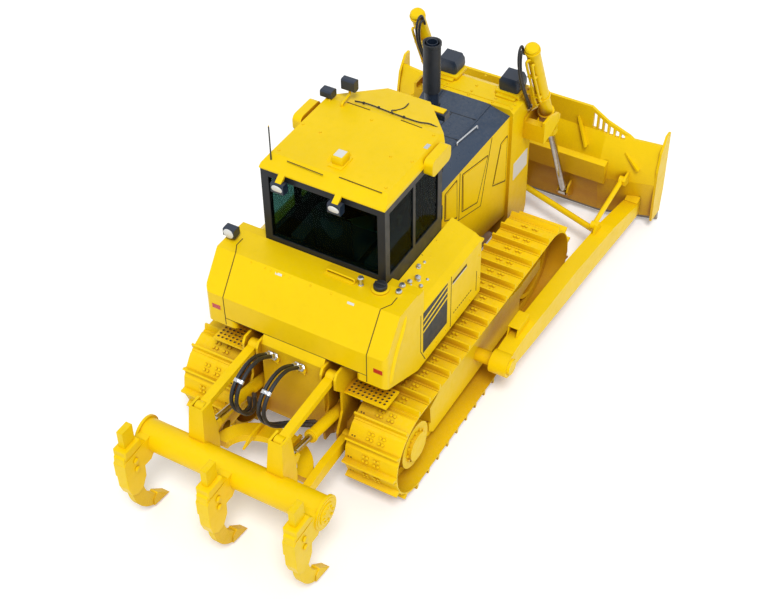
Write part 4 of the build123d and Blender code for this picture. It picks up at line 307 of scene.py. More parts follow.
def node(tree, kind, inputs=(), output=0, **settings):
    """Adds one shader node with its settings and inputs, and gives one of its outputs. An input given as a socket is
    linked, and a colour's three numbers get an alpha of 1."""
    made = tree.nodes.new("ShaderNode" + kind)
    for key, value in settings.items():
        setattr(made, key, value)
    for key, value in (inputs if isinstance(inputs, dict) else dict(enumerate(inputs))).items():
        socket = made.inputs[key]
        if isinstance(value, bpy.types.NodeSocket):
            tree.links.new(value, socket)
        else:
            socket.default_value = (*value, 1) if socket.type == "RGBA" else value
    return made.outputs[output] if len(made.outputs) else None


def shade(colour, by):
    """The colour times by, held at 1."""
    return tuple(min(1.0, c * by) for c in colour)


def blotches(place, size_mm, detail=3.0, rough=0.55):
    """What a noise node needs for blotches about size_mm across: its scale is 1000 over the size."""
    return {"Vector": place, "Scale": 1000.0 / size_mm, "Detail": detail, "Roughness": rough}


def fresh(name):
    """A material, its emptied node tree and its Object coordinates."""
    made = bpy.data.materials.get(name) or bpy.data.materials.new(name)
    made.use_nodes = True
    made.node_tree.nodes.clear()
    return made, made.node_tree, node(made.node_tree, "TexCoord", output="Object")


def skinned(tree, colour, rough, height, strength, depth, normal=None, fixed=None):
    """The shader and the output: colour, roughness, a bump of depth metres, and what is the same all over."""
    bump = {"Height": height, "Strength": strength, "Distance": depth} | ({"Normal": normal} if normal else {})
    inputs = {"Base Color": colour, "Roughness": rough, "Normal": node(tree, "Bump", bump)} | (fixed or {})
    node(tree, "OutputMaterial", {"Surface": node(tree, "BsdfPrincipled", inputs)})


def sprayed_paint(name, colour, gloss=0.36, wear=0.0, dust=0.03, bare=(0.32, 0.30, 0.27), edge_mm=3.0, shade_brown=None,
                  reach=0.7):
    """Sprayed machine paint: broad tone drift, a fine orange-peel skin, pale dust on upward faces, rubbed edges, and
    painted shade, an orange-brown that ambient occlusion mixes in where the steelwork closes in on itself. The peel is
    7 mm across and the chips 14 mm, several times the real ones, so that they show."""
    made, tree, place = fresh(name)
    broad = node(tree, "TexNoise", blotches(place, 620, 4))
    blotch = node(tree, "TexNoise", blotches(place, 90, 5))
    drift = node(tree, "MapRange", (broad, 0.3, 0.7))
    tone = node(tree, "Mix", {0: drift, 6: shade(colour, 0.95), 7: shade(colour, 1.03)}, **MIX)
    dull = node(tree, "MapRange", (blotch, 0.52, 0.75, 0, 0.35))
    tone = node(tree, "Mix", {0: dull, 6: tone, 7: shade(colour, 0.90)}, **MIX)
    normal = node(tree, "NewGeometry", output="Normal")
    up = node(tree, "SeparateXYZ", (normal,), 2)
    lying = node(tree, "MapRange", (up, 0.35, 1.0, 0, dust))
    specks = node(tree, "MapRange", (node(tree, "TexNoise", blotches(place, 38, 6, 0.65)), 0.42, 0.68))
    dusty = node(tree, "Math", (lying, specks), **TIMES)
    tone = node(tree, "Mix", {0: dusty, 6: tone, 7: (0.62, 0.56, 0.44)}, **MIX)
    # Painted shade: where ambient occlusion finds other parts within reach, the paint turns patchily towards the shade
    # brown
    if shade_brown:
        closed_in = node(tree, "AmbientOcclusion", {"Distance": reach}, "AO", samples=8)
        deep_shade = node(tree, "MapRange", (closed_in, 0.60, 0.15, 0, 0.9))
        patchy = node(tree, "MapRange", (broad, 0.2, 0.8, 0.8, 1.0))
        tone = node(tree, "Mix", {0: node(tree, "Math", (deep_shade, patchy), **TIMES), 6: tone, 7: shade_brown}, **MIX)
    soft_edge = node(tree, "Bevel", {"Radius": edge_mm / 1000}, samples=4)
    if wear:
        bend = node(tree, "VectorMath", (soft_edge, normal), "Value", operation="DOT_PRODUCT")
        edges = node(tree, "MapRange", (bend, 0.97, 0.80, 0, 1))
        chips = node(tree, "TexNoise", blotches(place, 14, 6, 0.7))
        chips = node(tree, "MapRange", (chips, 0.56 - 0.12 * wear, 0.60))
        rubbed = node(tree, "Math", (node(tree, "Math", (edges, chips), **TIMES), wear), **TIMES)
        tone = node(tree, "Mix", {0: rubbed, 6: tone, 7: bare}, **MIX)
    rough = node(tree, "MapRange", (blotch, 0.3, 0.7, gloss - 0.06, gloss + 0.10))
    peel = node(tree, "TexNoise", blotches(place, 7, 2))
    skinned(tree, tone, rough, peel, 0.25, 0.0006, soft_edge, {"Specular IOR Level": 0.22})
    return made


def worn_steel(name, colour, rough=0.42, grain_mm=4.0, rust=0.3, metal=0.85):
    """Bare steel that soil has polished: rust-brown patches a hand wide, and a grain that stands for scratches and
    dents and is drawn coarser than they are, so that it shows."""
    made, tree, place = fresh(name)
    patches = node(tree, "MapRange", (node(tree, "TexNoise", blotches(place, 110, 6, 0.65)), 0.42, 0.66))
    grain = node(tree, "TexNoise", blotches(place, grain_mm, 3))
    tone = node(tree, "Mix", {0: grain, 6: shade(colour, 0.8), 7: shade(colour, 1.2)}, **MIX)
    rusty = node(tree, "Math", (patches, rust), **TIMES)
    tone = node(tree, "Mix", {0: rusty, 6: tone, 7: linear("#6B4326")}, **MIX)
    edge = node(tree, "Bevel", {"Radius": 0.003}, samples=4)
    rough = node(tree, "MapRange", (patches, 0, 1, rough - 0.1, rough + 0.2))
    skinned(tree, tone, rough, grain, 0.3, 0.0008, edge, {"Metallic": metal})
    return made


def polished_chrome(name, colour):
    """Hard chrome on a rod: near mirror with faint oil mist, and polishing marks 1.5 mm apart, coarser than real."""
    made, tree, place = fresh(name)
    mist = node(tree, "TexNoise", blotches(place, 60, 4))
    misty = node(tree, "MapRange", (mist, 0.4, 0.7))
    tone = node(tree, "Mix", {0: misty, 6: colour, 7: shade(colour, 0.8)}, **MIX)
    rings = node(tree, "TexNoise", blotches(place, 1.5, 1))
    rough = node(tree, "MapRange", (mist, 0.3, 0.7, 0.12, 0.26))
    skinned(tree, tone, rough, rings, 0.08, 0.0002, fixed={"Metallic": 1.0})
    return made


def moulded_plastic(name, colour, rough=0.55, grain_mm=1.6):
    """Moulded plastic: slight tone drift over a pebbled grain, 1.6 mm across where the mould's own is under 1 mm."""
    made, tree, place = fresh(name)
    drift = node(tree, "TexNoise", blotches(place, 160, 3))
    pebble = node(tree, "TexVoronoi", {"Vector": place, "Scale": 1000.0 / grain_mm})
    uneven = node(tree, "MapRange", (drift, 0.35, 0.7))
    tone = node(tree, "Mix", {0: uneven, 6: shade(colour, 0.9), 7: shade(colour, 1.15)}, **MIX)
    edge = node(tree, "Bevel", {"Radius": 0.003}, samples=4)
    rough = node(tree, "MapRange", (drift, 0.3, 0.7, rough - 0.08, rough + 0.1))
    skinned(tree, tone, rough, pebble, 0.35, 0.0004, edge)
    return made


def hose_rubber(name, colour):
    """Wrapped rubber hose: the wrapping cloth's print shows as small pits, 2.4 mm apart, on a dull black skin."""
    made, tree, place = fresh(name)
    drift = node(tree, "TexNoise", blotches(place, 45, 4))
    pits = node(tree, "TexVoronoi", {"Vector": place, "Scale": 420.0})
    faded = node(tree, "MapRange", (drift, 0.4, 0.7))
    tone = node(tree, "Mix", {0: faded, 6: colour, 7: shade(colour, 1.8)}, **MIX)
    skinned(tree, tone, node(tree, "MapRange", (drift, 0.3, 0.7, 0.38, 0.55)), pits, 0.4, 0.0005)
    return made


def tinted_glass(name, colour):
    """Tinted safety glass: a thin dark pane that mirrors at a slant, with faint wiped dust."""
    made, tree, place = fresh(name)
    smear = node(tree, "TexNoise", blotches(place, 240, 5))
    wiped = node(tree, "MapRange", (smear, 0.4, 0.7))
    tone = node(tree, "Mix", {0: wiped, 6: (0.004, 0.006, 0.006), 7: (0.012, 0.018, 0.018)}, **MIX)
    rough = node(tree, "MapRange", (smear, 0.35, 0.75, 0.02, 0.09))
    pane = node(tree, "BsdfPrincipled", {"Base Color": tone, "Roughness": rough, "Specular IOR Level": 0.6})
    clear = node(tree, "BsdfTransparent", {"Color": colour})
    slant = node(tree, "Math", (node(tree, "LayerWeight", {"Blend": 0.5}, "Facing"), 5.0), operation="POWER")
    share = node(tree, "MapRange", (slant, 0.0, 1.0, 0.025, 0.7))
    node(tree, "OutputMaterial", {"Surface": node(tree, "MixShader", (share, clear, pane))})
    return made


def woven_cloth(name, colour):
    """Woven seat cloth: two crossed sets of threads, drawn coarser than real ones so that they show, with fuzz that
    takes side light."""
    made, tree, place = fresh(name)
    drift = node(tree, "TexNoise", blotches(place, 70, 4))
    threads = []
    for turn in ((0, 0, 0), (0, 0, math.pi / 2)):
        across = node(tree, "Mapping", {"Vector": place, "Rotation": turn})
        wave = {"Vector": across, "Scale": 110.0, "Distortion": 0.6}
        threads.append(node(tree, "TexWave", wave, wave_type="BANDS", bands_direction="X"))
    weave = node(tree, "Math", threads, **LARGER)
    tone = node(tree, "Mix", {0: weave, 6: shade(colour, 0.6), 7: shade(colour, 1.3)}, **MIX)
    worn = node(tree, "MapRange", (drift, 0.4, 0.7, 0, 0.4))
    tone = node(tree, "Mix", {0: worn, 6: tone, 7: shade(colour, 1.7)}, **MIX)
    rough = node(tree, "MapRange", (drift, 0.3, 0.7, 0.8, 0.95))
    skinned(tree, tone, rough, weave, 0.5, 0.0008, fixed={"Sheen Weight": 0.3})
    return made


def reflector(name, colour):
    """Moulded reflector: small prisms about 5 mm across under a clear face."""
    made, tree, place = fresh(name)
    cells = node(tree, "TexVoronoi", {"Vector": place, "Scale": 180.0})
    tone = node(tree, "Mix", {0: cells, 6: shade(colour, 0.55), 7: shade(colour, 1.3)}, **MIX)
    rough = node(tree, "MapRange", (cells, 0, 1, 0.1, 0.25))
    skinned(tree, tone, rough, cells, 0.5, 0.001, fixed={"Coat Weight": 0.5})
    return made


def make_finishes(finish):
    """Every finish of the machine by its short name, each named for the real material; the yellow and track paints
    also carry painted shade.
    """
    yellow, wear = tuple(finish.body_paint), finish.wear
    return {
        # Two-pack sprayed enamel: rounded gloss, with painted shade in orange-brown where the steelwork closes in
        "yellow": sprayed_paint("Machine yellow paint", yellow, wear=0.3 * wear, dust=0.02, shade_brown=linear("#B06C14")),
        # Painted shade that reaches 3.2 m, so sheltered faces such as the blade's back render dark brown
        "deep_shade": sprayed_paint("Yellow paint with deep painted shade", yellow, wear=0.3 * wear, shade_brown=linear("#964E12"), reach=3.2),
        # The track paint's painted shade reaches 1.1 m and browns the track loop
        "shoe": sprayed_paint("Painted track steel", yellow, gloss=0.45, wear=0.7 * wear, dust=0.06,
                              bare=linear("#A67A30"), shade_brown=linear("#9C5216"), reach=1.1),
        "hood": sprayed_paint("Hood blue grey paint", tuple(finish.hood_paint), gloss=0.30, dust=0.05, wear=0.1),
        "black": sprayed_paint("Cab charcoal paint", tuple(finish.cab_paint), gloss=0.34, dust=0.05, wear=0.1),
        # Printed vinyl film and enamelled plates: even tone and sharp edges
        "panel": sprayed_paint("Side panel film", tuple(finish.panel_dark), gloss=0.42, dust=0.0, edge_mm=0.5),
        "stripe": sprayed_paint("Side panel stripe", yellow, gloss=0.3, dust=0.03, edge_mm=0.5),
        "white": sprayed_paint("Blank white plate", linear("#E6E6E2"), gloss=0.35, dust=0.04, edge_mm=0.5),
        # Rubber and moulded plastic: dull, with a pebbled skin
        # The same dark rubber colour also fills holes, slits and the handle slot, as painted shade
        "seam": moulded_plastic("Seam rubber and painted hole shade", linear("#4A3208"), 0.8),
        "rubber": hose_rubber("Black hose rubber", linear("#15161A")),
        "plastic": moulded_plastic("Black moulded plastic", linear("#1B1E23")),
        "lamp": moulded_plastic("Lamp housing", linear("#1E2A3C"), 0.4),
        "teal": moulded_plastic("Cab floor mat", linear("#7CB8AE"), 0.6),
        "trim": moulded_plastic("Console trim", linear("#3A4044"), 0.5),
        # Bare metal: rolled edge steel, zinc plate, cast iron and hard chrome
        "steel": worn_steel("Worn cutting steel", linear("#8C8272")),
        "zinc": worn_steel("Zinc plated steel", linear("#C9CCD0"), 0.28, 3.0, 0.03, 0.9),
        "dark_steel": worn_steel("Dark engine steel", linear("#4A4640"), 0.6, 5.0, 0.25, 0.5),
        "chrome": polished_chrome("Hard chrome rod", linear("#B9B4AC")),
        "mirror": polished_chrome("Lamp reflector", linear("#E8ECF0")),
        # Laminated tinted glass, woven polyester and acrylic
        "glass": tinted_glass("Tinted cab glass", linear("#A9C2BE")),
        "cloth": woven_cloth("Woven fabric", tuple(finish.seat_cloth)),
        "red": reflector("Red reflector", linear("#C81E14")),
    }


FINISHES = {}

# These parts take the paint with the far-reaching painted shade, so they render darker brown
NODE_FINISH = dict.fromkeys(
    ("blade", "chassis", "ripper_brackets", "lift_yokes", "radiator_guard", "hood_sides"), "deep_shade"
)
NODE_FINISH |= dict.fromkeys(("cab_frame", "cab_door_left", "cab_door_right"), "black")
NODE_FINISH |= dict.fromkeys(("cab_glass", "door_glass_left", "door_glass_right"), "glass")
NODE_FINISH |= dict.fromkeys(("exhaust_stack", "head_lamps", "work_lamps"), "lamp")
NODE_FINISH |= dict.fromkeys(("lift_rod_left", "lift_rod_right", "ripper_rod_left", "ripper_rod_right"), "chrome")
NODE_FINISH |= dict.fromkeys(("track_left", "track_right", "ripper_shanks", "sprockets"), "shoe")
NODE_FINISH |= {
    "cab_floor": "teal", "cab_consoles": "trim", "hood_top": "hood", "engine_block": "dark_steel",
    "cutting_edge": "steel", "operator_seat": "cloth",
}


# ---------------------------------------------------------------- places on the machine
# Foot of the tank's sloped rear and the direction up the slope, in (ahead, up)
SLOPE_FOOT, SLOPE = (-272.0, 1935.0), (0.598, 0.8015)


def on_slope(y, rise, lift=0.0):
    """A place on the tank's sloped rear: rise millimetres up the slope from its lower edge, lift off its face."""
    y, rise = np.broadcast_arrays(np.array(y, float), np.array(rise, float))
    ahead, up = SLOPE
    return np.stack([SLOPE_FOOT[0] + ahead * rise - up * lift, y, SLOPE_FOOT[1] + up * rise + ahead * lift], -1)


def on_fender(ahead, y, lift=0.0):
    """A place on the right side box's sloping top, from its inner edge at 705 to its outer edge at 1060."""
    ahead, y = np.broadcast_arrays(np.array(ahead, float), np.array(y, float))
    fall = (np.abs(y) - 705) * 160 / 355
    return np.stack([ahead, y + np.sign(y) * 0.41 * lift, 2150 - fall + 0.912 * lift], -1)


def on_roof(ahead, y, lift=0.0):
    """A place on the roof's flat crown."""
    ahead, y = np.broadcast_arrays(np.array(ahead, float), np.array(y, float))
    return np.stack([ahead, y, np.full(ahead.shape, ROOF_TOP) + lift], -1)


def bolt_circle(centre, radius, count):
    """Places on a circle that faces sideways: centre + radius*(cos(a), 0, sin(a))."""
    spots = circle(radius, count)
    return np.stack([spots[:, 0], np.zeros(count), spots[:, 1]], -1) + centre


def strip(path, width, height, over=(0, 0, 1)):
    """A low strip along a path: a flat bar's profile carried along it, half sunk into the face that it lies on."""
    return carried(rectangle(width, height), path, over=over)


def track_line(along, shoes):
    """Place, direction and outward normal on a track's pitch line: straight runs, and half circles at both ends."""
    run = TRACK_ON_GROUND
    radius = (shoes * SHOE_PITCH - 2 * run) / (2 * np.pi)
    axle = radius + CHAIN_TO_SHOE + GROUSER
    turn = np.pi * radius
    along = np.array(along, float)
    parts = [along < run, along < run + turn, along < 2 * run + turn]
    past_top = along - 2 * run - turn
    angle = np.select(parts, [0, (along - run) / radius, np.pi], past_top / radius + np.pi) - np.pi / 2
    centre = np.select(parts, [along, run, 2 * run + turn - along], 0)
    flat = np.zeros_like(angle)
    normal = np.stack([np.cos(angle), flat, np.sin(angle)], -1)
    place = np.stack([centre, flat, flat + axle], -1) + radius * normal
    return place, np.stack([-normal[:, 2], flat, normal[:, 0]], -1), normal


# ---------------------------------------------------------------- camera, floor and light
# The photo's camera: where it stands, and the turn vector from the model's frame to the lens's own
CAMERA_PLACE = (-10.572004, -6.169718, 12.187732)
CAMERA_TURN = (2.057635687515339, -1.1989617304880062, 0.507403600314401)
SUN_FROM = (-0.42, -0.30, 0.86)
FLOOR_HALF = 40000.0


def seen_directly(tree):
    """1 for rays from the camera and for those that metal and glass send on, and 0 for light on the object."""
    rays = [node(tree, "LightPath", output=f"Is {kind} Ray") for kind in ("Camera", "Glossy", "Transmission")]
    return node(tree, "Math", (node(tree, "Math", rays[:2], **LARGER), rays[2]), **LARGER)


class BULLDOZER_OT_stage(bpy.types.Operator):
    """Sets the camera, the pale floor and the soft light"""

    bl_idname = "bulldozer.stage"
    bl_label = "Camera, floor and light"

    def execute(self, context):
        stage = context.scene.bulldozer_stage
        turn = Vector(CAMERA_TURN)
        to_camera = Quaternion(turn.normalized(), turn.length).to_matrix()
        lens = bpy.data.cameras.new("Camera")
        lens.lens, lens.sensor_width, lens.sensor_fit = stage.lens, 36.0, "HORIZONTAL"
        lens.clip_start, lens.clip_end = 0.5, 200.0
        camera = bpy.data.objects.new("Camera", lens)
        facing = (to_camera.transposed() @ Matrix.Diagonal((1, -1, -1))).to_quaternion()
        camera.matrix_world = Matrix.LocRotScale(Vector(CAMERA_PLACE), facing, None)
        context.scene.collection.objects.link(camera)
        context.scene.camera = camera

        white, tree, place = fresh("Pale studio floor")
        grain = node(tree, "TexNoise", blotches(place, 900, 3))
        tone = node(tree, "Mix", {0: grain, 6: (0.93, 0.93, 0.93), 7: (0.97, 0.97, 0.97)}, **MIX)
        rough = node(tree, "MapRange", (grain, 0.3, 0.7, 0.75, 0.9))
        matt = node(tree, "BsdfPrincipled", {"Base Color": tone, "Roughness": rough, "Specular IOR Level": 0.1})
        glow = node(tree, "Emission", {"Color": (1, 1, 1), "Strength": 0.2})
        lit = node(tree, "AddShader", (matt, glow))
        node(tree, "OutputMaterial", {"Surface": node(tree, "MixShader", (seen_directly(tree), matt, lit))})
        u = np.linspace(-FLOOR_HALF, FLOOR_HALF, 9)
        grid = np.stack(np.meshgrid(u, u, indexing="ij"), -1).reshape(-1, 2)
        floor = (np.c_[grid, np.full(len(grid), -1.0)], net(9, 9))
        piece("floor", [floor], white, None)

        world = bpy.data.worlds.new("Studio sky")
        world.use_nodes = True
        sky = world.node_tree
        sky.nodes.clear()
        soft = node(sky, "Background", {"Color": (0.98, 0.99, 1.0), "Strength": stage.sky})
        plain = node(sky, "Background", {"Color": (1, 1, 1), "Strength": 1.0})
        node(sky, "OutputWorld", {"Surface": node(sky, "MixShader", (seen_directly(sky), soft, plain))})
        context.scene.world = world

        lamp = bpy.data.lights.new("Soft sun", "SUN")
        lamp.energy, lamp.angle, lamp.color = stage.sun, math.radians(20), (1.0, 1.0, 1.0)
        sun = bpy.data.objects.new("Soft sun", lamp)
        sun.matrix_world = Vector(SUN_FROM).to_track_quat("Z", "Y").to_matrix().to_4x4()
        context.scene.collection.objects.link(sun)
        context.scene.view_settings.view_transform = "Standard"
        return {"FINISHED"}


# ---------------------------------------------------------------- hoses of the ripper
# Name, side, distance of the elbow from the middle, and how far forward of the route the port lies
HOSES = (
    ("left_outer", 1, 255, 0), ("left_inner", 1, 195, 86),
    ("right_outer", -1, 125, 0), ("right_inner", -1, 65, 70),
)
# (ahead, up, share): the share runs from 0 at the elbow to 1 at the port
HOSE_ROUTE = (
    (-356, 1479.5, 0), (-520, 1627.6, 0), (-690, 1690, 0), (-860, 1668, 0), (-1000, 1585, 0), (-1058, 1440, 0),
    (-1000, 1265, 0), (-880, 1110, 0.01), (-775, 1040, 0.15), (-700, 1015, 0.39), (-650, 1005, 0.72), (-605, 998, 1),
)
# Distance of the ports from the middle, under each cylinder
HOSE_PORT_Y = 372.0


def hose_points(hand, start, forward):
    """Route of one hose from its elbow to its port: the route's points, spread sideways by their share."""
    return at([(x + forward * share, hand * (start + share * (HOSE_PORT_Y - start)), z - 0.22 * forward * share)
               for x, z, share in HOSE_ROUTE])


def corners_of(mesh):
    """Places of all the vertices of a mesh, one to a row."""
    places = np.empty(len(mesh.vertices) * 3)
    mesh.vertices.foreach_get("co", places)
    return places.reshape(-1, 3)


def hose_line(points):
    """The smooth line of a route: points read from the NURBS spline whose control points are the route's."""
    curve = bpy.data.curves.new("route", "CURVE")
    curve.dimensions, curve.resolution_u = "3D", 12
    spline = curve.splines.new("NURBS")
    spline.points.add(len(points) - 1)
    spline.points.foreach_set("co", np.c_[points, np.ones(len(points))].ravel())
    spline.order_u, spline.use_endpoint_u = 3, True
    holder = bpy.data.objects.new("route", curve)
    bpy.context.scene.collection.objects.link(holder)
    mesh = bpy.data.meshes.new_from_object(holder)
    line = corners_of(mesh)
    bpy.data.objects.remove(holder)
    bpy.data.curves.remove(curve)
    bpy.data.meshes.remove(mesh)
    return line


def hose(name, line, size, sides, over):
    """A hose: a circle carried along a line in metres."""
    skin = carried(circle(size / 2, sides), line, over=over)
    tube = piece(name, [skin], "rubber", None, smooth=True, in_metres=True)
    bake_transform(tube)


class BULLDOZER_OT_hoses(bpy.types.Operator):
    """Makes the ripper's four hoses with their elbows, ferrules and clamps"""

    bl_idname = "bulldozer.hoses"
    bl_label = "Ripper hoses"

    def execute(self, context):
        size = context.scene.bulldozer_fittings.hose_size
        elbows, ferrules = [], []
        ferrule = turned([(22, -6), (27, -6), (27, 10), (25, 12), (25, 44), (23.5, 62), (21.3, 66)], 20)
        sleeve = turned([(21.3, -66), (23, -62), (24.5, -44), (24.5, -12), (26, -10), (26, 4), (0.1, 4)], 20)
        disc = turned([(0.1, 0), (46, 0), (46, 20), (34, 26), (0.1, 26)], 20)
        for name, hand, start_y, forward in HOSES:
            side = "left" if hand > 0 else "right"
            points = hose_points(hand, start_y, forward)
            line = hose_line(points)
            hose(f"ripper_hose_{name}", line, size, 20, (0.05, 1, 0.05))
            y = hand * start_y
            bend = [(-322, y, 1436), (-336, y, 1440), (-348, y, 1457), (-358, y, 1482), (-372, y, 1494)]
            elbows.append(carried(circle(27, 16), eased(bend, 6), over=(0, 1, 0)))
            out, start = np.array((-0.742, 0, 0.670)), np.array(bend[-1])
            ferrules.append(stood(ferrule, start, out, (0, 1, 0)))
            ferrules.append(stood(hex_head(60, 24), start - 22 * out, out, (0, 1, 0)))
            flange = [stood(disc, (-331, y, 1436), (-1, 0, 0))]
            flange += [stood(hex_head(18, 12), (-351, y + dy, 1436 + dz), (-1, 0, 0))
                       for dy in (-34, 34) for dz in (-34, 34)]
            piece(f"hose_flange_{name}", flange, "yellow", smooth=True)
            last = points[-1] - line[-6]
            last /= np.linalg.norm(last)
            end_mm = points[-1] * 1000 + (SPROCKET_TO_MIDDLE, 0, 0)
            inlet = [end_mm, end_mm + last * 12, (end_mm[0] + 4, hand * 405, end_mm[2] - 2)]
            port = [stood(sleeve, end_mm, last, (0, 0, 1)), carried(circle(15, 12), inlet, over=(1, 0, 0))]
            piece(f"hose_port_{name}", port, "dark_steel", f"ripper_tube_{side}", smooth=True)
        piece("hose_elbows", elbows, "plastic", smooth=True)
        piece("hose_ferrules", ferrules, "zinc", smooth=True)
        along, across = np.array((-0.86, 0, -0.51)), np.array((0.51, 0, -0.86))
        turn = np.linspace(0, 2 * np.pi, 28, endpoint=False)[:, None]
        wide = 30 * np.sign(np.cos(turn)) + 24 * np.cos(turn)
        for side, y in (("left", 225), ("right", -95)):
            centre = np.array((-930, y, 1626))
            ring = centre + wide * (0, 1, 0) + 24 * np.sin(turn) * across
            band = carried(rectangle(5, 38), ring, over=along, closed=True)
            lug = stood(block((-12, -8, 0), (12, 8, 34), 4), centre - 26 * across, -across, along)
            piece(f"hose_clamp_{side}", [band, lug], "zinc", smooth=True)
        return {"FINISHED"}


# ---------------------------------------------------------------- paint on the CAD nodes
def cad_object(name):
    """The Blender object of a CAD node."""
    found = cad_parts[name]
    return found if isinstance(found, bpy.types.Object) else bpy.data.objects[name]


class BULLDOZER_OT_paint(bpy.types.Operator):
    """Gives every CAD node its real finish"""

    bl_idname = "bulldozer.paint"
    bl_label = "Paint and finishes"

    def execute(self, context):
        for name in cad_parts:
            target = cad_object(name)
            finish = FINISHES[NODE_FINISH.get(name, "yellow")]
            for slot in target.material_slots:
                slot.link = "OBJECT"
                slot.material = finish
        return {"FINISHED"}


# ---------------------------------------------------------------- operator's seat
def swell(pad, voxel, pressure, cap, frames=20):
    """Pumps a cushion's skin with the cloth solver, and holds each point within cap of where it began."""
    remesh = pad.modifiers.new("Skin", "REMESH")
    remesh.mode, remesh.voxel_size = "VOXEL", voxel
    context = bpy.context
    skin = bpy.data.meshes.new_from_object(pad.evaluated_get(context.evaluated_depsgraph_get()))
    pad.modifiers.clear()
    pad.data = skin
    before = corners_of(skin)
    cloth = pad.modifiers.new("Cloth", "CLOTH")
    settings = cloth.settings
    settings.quality, settings.mass = 5, 0.3
    settings.tension_stiffness = settings.compression_stiffness = 15
    settings.bending_stiffness = 0.6
    settings.use_pressure, settings.uniform_pressure_force = True, pressure
    settings.effector_weights.gravity = 0
    cloth.point_cache.frame_start, cloth.point_cache.frame_end = 1, frames
    for step in range(1, frames + 1):
        context.scene.frame_set(step)
    blown = bpy.data.meshes.new_from_object(pad.evaluated_get(context.evaluated_depsgraph_get()))
    moved = corners_of(blown) - before
    pad.modifiers.clear()
    context.scene.frame_set(1)
    far = np.linalg.norm(moved, axis=1, keepdims=True)
    moved *= np.minimum(1, cap / np.maximum(far, 1e-9))
    skin.vertices.foreach_set("co", (before + moved).ravel())
    skin.update()
    skin.polygons.foreach_set("use_smooth", [True] * len(skin.polygons))
    finer = pad.modifiers.new("Finer skin", "SUBSURF")
    finer.levels = finer.render_levels = 1


class BULLDOZER_OT_seat(bpy.types.Operator):
    """Makes the operator's padded seat, its shell and its pedestal"""

    bl_idname = "bulldozer.seat"
    bl_label = "Operator's seat"

    def execute(self, context):
        cushion = piece("seat_cushion", [block((650, -215, 2118), (1120, 215, 2196), 38, 4)], "cloth", None)
        lean = ((606, 0, 2230), (576, 0, 2490), (548, 0, 2762))
        widths = np.r_[0.80, 0.93, 0.99, np.ones(7), 0.97, 0.90, 0.74]
        rest = carried(circle(1, 24) * (205, 34), eased(lean, 6), over=(1, 0, 0), sizes=widths)
        back = piece("seat_back", [rest], "cloth", None)
        for pad in (cushion, back):
            swell(pad, voxel=0.008, pressure=4.0, cap=0.022)
            pad.data.materials.clear()
            pad.data.materials.append(FINISHES["cloth"])
            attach(pad, "tractor")
        spine = ((560, 0, 2105), (548, 0, 2300), (530, 0, 2520), (522, 0, 2776))
        shell = [
            block((625, -235, 2085), (1135, 235, 2122), 14, 3),
            carried(rectangle(440, 22), eased(spine, 6), over=(1, 0, 0)),
            block((690, -165, 1702), (1020, 165, 1760), 20, 3), block((740, -120, 1760), (970, 120, 2086), 30, 3),
        ]
        shelf = [block((392, -620, 2236), (520, 620, 2270), 10, 3), block((392, -620, 1700), (408, 620, 2250), 4)]
        piece("cab_rear_shelf", shelf, "teal", slot="trim_plastic", smooth=True)
        base = piece("seat_shell", shell, "plastic", slot="trim_plastic", smooth=True)
        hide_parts("operator_seat")
        return {"FINISHED"}


# ---------------------------------------------------------------- tracks
class BULLDOZER_OT_tracks(bpy.types.Operator):
    """Bolts every shoe of both tracks, marks the holes at their inner edge and bolts the final drives"""

    bl_idname = "bulldozer.tracks"
    bl_label = "Track bolts and holes"

    def execute(self, context):
        fittings = context.scene.bulldozer_fittings
        bolt = hex_head(fittings.bolt_size * 1000, 17)
        shoe = (np.arange(fittings.shoes) + 0.5) * SHOE_PITCH
        place, direction, normal = track_line(shoe, fittings.shoes)
        for side, sign in BOTH_SIDES:
            middle = place + CHAIN_TO_SHOE * normal + (0, sign * TRACK_CENTRE, 0)
            spots = [middle + t * direction + (0, y, 0) for t in (-66.0, -8.0) for y in (-86, -44, 44, 86)]
            piece(f"shoe_bolts_{side}", [repeated(bolt, np.vstack(spots), np.vstack([normal] * 8), (0, 1, 0))],
                  "yellow", slot="track_steel")
            # Dark discs at each shoe's inner edge: painted shade standing for the shaded insides of holes
            spots = [middle + 18 * direction + 1.2 * normal + (0, -sign * y, 0) for y in (262, 232)]
            hole = turned([(0.1, -3), (9, -3), (9, 0.6), (0.1, 0.6)], 8)
            piece(f"shoe_holes_{side}", [repeated(hole, np.vstack(spots), np.vstack([normal] * 2), (0, 1, 0))],
                  "seam", slot="track_steel")
        hubs = []
        for sign in (1, -1):
            centre, out = (0, sign * HUB_FACE, SPROCKET_HEIGHT), (0, sign, 0)
            hubs.append(repeated(hex_head(30, 18), bolt_circle(centre, 175, 12), out))
            hubs.append(stood(turned([(0.1, 0), (110, 0), (110, 10), (96, 22), (0.1, 24)], 32), centre, out))
            hubs.append(stood(hex_head(46, 16), (0, sign * (HUB_FACE + 22), SPROCKET_HEIGHT), out))
        piece("final_drive_bolts", hubs, "yellow")
        return {"FINISHED"}


